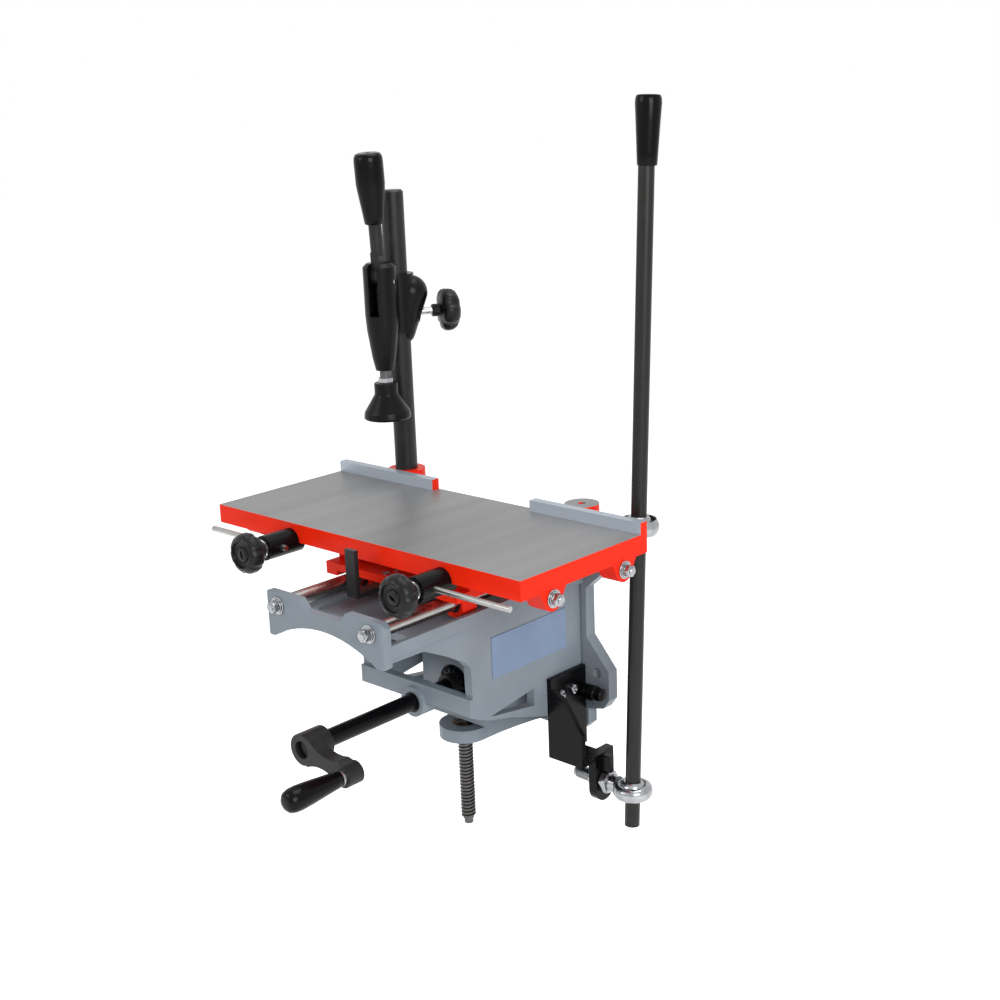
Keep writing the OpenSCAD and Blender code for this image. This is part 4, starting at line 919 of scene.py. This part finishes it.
class MORTISER_OT_clamp(bpy.types.Operator):
    """Dresses the work clamp and its post"""

    bl_idname = "mortiser.clamp"
    bl_label = "Work clamp"

    def execute(self, context):
        sizes = context.scene.mortiser_sizes
        softened("clamp_body", sizes.cast_round, ["black_cast"], "clamp_arm")
        wear("clamp_post", "gunmetal")
        wear("clamp_knob_screw", "zinc")
        wear("clamp_pivot_pin", "zinc")
        softened("clamp_lever", sizes.sheet_round, ["gunmetal"], "clamp_handle")
        wear("plunger", "thread")
        wear("plunger_nut", "zinc")
        softened("clamp_foot", sizes.cast_round, ["black_cast"], "foot",
                 least_deg=20)
        self.knob()
        self.grip()
        return {"FINISHED"}

    def knob(self):
        """The sleeve's knob: five deep lobes and a domed face."""
        at, axis = joint_place("clamp_knob_spin")
        low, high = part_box("clamp_knob")
        radius = (high.z - low.z) / 2 / MM
        neck, head = 8, 23
        length = neck + head
        start = at + axis * ((low + high) / 2 - at).dot(axis) - axis * (length / 2 * MM)
        bm = bmesh.new()
        faces = turned(bm, [
            (4.1, 0), (6.4, 0), (7, 0.6), (7, neck - 1), (8.4, neck + 0.2), (14, neck + 1),
            (radius - 3.4, 10.4), (radius - 0.9, 13), (radius, 17.2), (radius - 0.8, 22),
            (radius - 3.2, 26), (radius - 8, 29), (8, length - 0.4), (4, length),
            (0, length)], Matrix.Identity(4), 100)
        lobes(faces, 5, 3.2, 9, radius - 1, 0.4)
        move(bm, faces, along(start, axis, 0.2))
        new_piece("clamp_knob_domed", bm, ["knob"], "clamp_screw", ["clamp_knob"], 50)

    def grip(self):
        """The clamp lever's grip: a full barrel above and a taper below."""
        pivot = joint_place("clamp_lever_turn")[0]
        low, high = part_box("clamp_lever_grip")
        arm = (low + high) / 2 - pivot
        lean = arm.normalized()
        length, bore = 74, 7.05
        place = along(pivot + lean * ((arm.length / MM - length / 2) * MM), lean)
        bm = bmesh.new()
        turned(bm, [(bore, 0), (9.6, 0), (10.4, 1.2), (11.4, length * 0.14), (13.6, length * 0.36),
                    (15, length * 0.5), (15.5, length * 0.58), (15.5, length - 8),
                    (15, length - 4), (13.4, length - 1), (11, length), (3.2, length),
                    (2.6, length - 1.2), (0, length - 1.2), (0, length - 9), (bore, length - 9)],
               place, 72)
        new_piece("clamp_lever_grip_turned", bm, ["phenolic"], "clamp_handle",
                  ["clamp_lever_grip"], 40)


class MORTISER_OT_stage(bpy.types.Operator):
    """Sets up the floor, the soft lights and the camera"""

    bl_idname = "mortiser.stage"
    bl_label = "Stage"

    def white_where_seen(self, tree, lit, seen):
        """Shows one shader to lamps and the other to the camera, gloss and clear materials."""
        path = add_node(tree, "ShaderNodeLightPath").outputs
        eye = add_node(tree, "ShaderNodeMath", {"operation": "MAXIMUM"},
                       {0: path["Is Camera Ray"], 1: path["Is Glossy Ray"]})
        any_eye = add_node(tree, "ShaderNodeMath", {"operation": "MAXIMUM"},
                           {0: eye.outputs[0], 1: path["Is Transmission Ray"]})
        mixed = add_node(tree, "ShaderNodeMixShader",
                         links={0: any_eye.outputs[0], 1: lit, 2: seen})
        return mixed.outputs[0]

    def world(self, scene):
        scene.world = bpy.data.worlds.new("studio")
        scene.world.use_nodes = True
        tree = scene.world.node_tree
        tree.nodes.clear()
        lit = add_node(tree, "ShaderNodeBackground",
                       {"Color": (0.98, 0.99, 1, 1), "Strength": 0.26})
        seen = add_node(tree, "ShaderNodeBackground", {"Color": (1, 1, 1, 1), "Strength": 1.0})
        mixed = self.white_where_seen(tree, lit.outputs[0], seen.outputs[0])
        add_node(tree, "ShaderNodeOutputWorld", links={"Surface": mixed})

    def floor(self, scene):
        bm = bmesh.new()
        bmesh.ops.create_grid(bm, x_segments=1, y_segments=1, size=FLOOR_HALF)
        mesh = bpy.data.meshes.new("floor")
        bm.to_mesh(mesh)
        bm.free()
        mesh.transform(Matrix.Translation((0, 0, CAD_BOX[0].z - FLOOR_DROP)))
        floor = bpy.data.objects.new("floor", mesh)
        scene.collection.objects.link(floor)
        material = bpy.data.materials.new("pale_floor_paint")
        material.use_nodes = True
        tree = material.node_tree
        tree.nodes.clear()
        paint = add_node(tree, "ShaderNodeBsdfDiffuse", {"Color": (0.9, 0.9, 0.9, 1)})
        glow = add_node(tree, "ShaderNodeEmission", {"Color": (1, 1, 1, 1), "Strength": 0.78})
        bright = add_node(tree, "ShaderNodeAddShader",
                          links={0: paint.outputs[0], 1: glow.outputs[0]})
        mixed = self.white_where_seen(tree, paint.outputs[0], bright.outputs[0])
        add_node(tree, "ShaderNodeOutputMaterial", links={"Surface": mixed})
        mesh.materials.append(material)

    def lamp(self, scene, name, at, side, watts):
        """A square soft light, aimed at the part."""
        data = bpy.data.lights.new(name, "AREA")
        data.shape = "RECTANGLE"
        data.size = data.size_y = side
        data.energy = watts
        lamp = bpy.data.objects.new(name, data)
        aim = (LIT_POINT - Vector(at)).to_track_quat("-Z", "Y").to_matrix().to_4x4()
        lamp.matrix_world = Matrix.Translation(Vector(at)) @ aim
        scene.collection.objects.link(lamp)

    def camera(self, scene):
        """The photograph's camera, from the front right and above, solved from its edges."""
        azimuth, elevation, roll = CAMERA_TURN
        back = Vector((math.sin(azimuth) * math.cos(elevation),
                       -math.cos(azimuth) * math.cos(elevation), math.sin(elevation)))
        right = (-back).cross(Vector((0, 0, 1))).normalized()
        up = right.cross(-back)
        rolled_right = math.cos(roll) * right + math.sin(roll) * up
        rolled_up = -math.sin(roll) * right + math.cos(roll) * up
        turn = Matrix((rolled_right, rolled_up, back)).transposed().to_4x4()
        data = bpy.data.cameras.new("camera")
        data.sensor_fit = "HORIZONTAL"
        data.sensor_width = SENSOR_MM
        data.lens = FOCAL_SHARE * SENSOR_MM
        camera = bpy.data.objects.new("camera", data)
        camera.matrix_world = Matrix.Translation(CAMERA_PLACE_MM * MM) @ turn
        scene.collection.objects.link(camera)
        scene.camera = camera

    def execute(self, context):
        scene = context.scene
        scene.view_settings.view_transform = "Standard"
        self.world(scene)
        self.floor(scene)
        for name, at, side, watts in LAMPS:
            self.lamp(scene, name, at, side, watts)
        self.camera(scene)
        return {"FINISHED"}


PIECES = (
    MORTISER_OT_finishes, MORTISER_OT_stage, MORTISER_OT_wall_casting, MORTISER_OT_knee,
    MORTISER_OT_guide_rods, MORTISER_OT_height_drive, MORTISER_OT_hand_lever, MORTISER_OT_carriage,
    MORTISER_OT_table, MORTISER_OT_stops, MORTISER_OT_clamp,
)


class MORTISER_PT_sidebar(bpy.types.Panel):
    """Lists the pieces, sizes and colours of the mortiser"""

    bl_idname = "MORTISER_PT_sidebar"
    bl_label = "Slot mortiser"
    bl_space_type = "VIEW_3D"
    bl_region_type = "UI"
    bl_category = "Mortiser"

    def draw(self, context):
        for settings in (context.scene.mortiser_sizes, context.scene.mortiser_colours):
            for key in settings.__annotations__:
                self.layout.prop(settings, key)
        for piece in PIECES:
            self.layout.operator(piece.bl_idname)


CLASSES = (MortiserColours, MortiserSizes, *PIECES, MORTISER_PT_sidebar)


def register():
    for item in CLASSES:
        bpy.utils.register_class(item)
    bpy.types.Scene.mortiser_colours = bpy.props.PointerProperty(type=MortiserColours)
    bpy.types.Scene.mortiser_sizes = bpy.props.PointerProperty(type=MortiserSizes)


def unregister():
    del bpy.types.Scene.mortiser_sizes
    del bpy.types.Scene.mortiser_colours
    for item in reversed(CLASSES):
        bpy.utils.unregister_class(item)


def main():
    register()
    for piece in PIECES:
        group, name = piece.bl_idname.split(".")
        getattr(getattr(bpy.ops, group), name)()


if __name__ == "__main__":
    main()
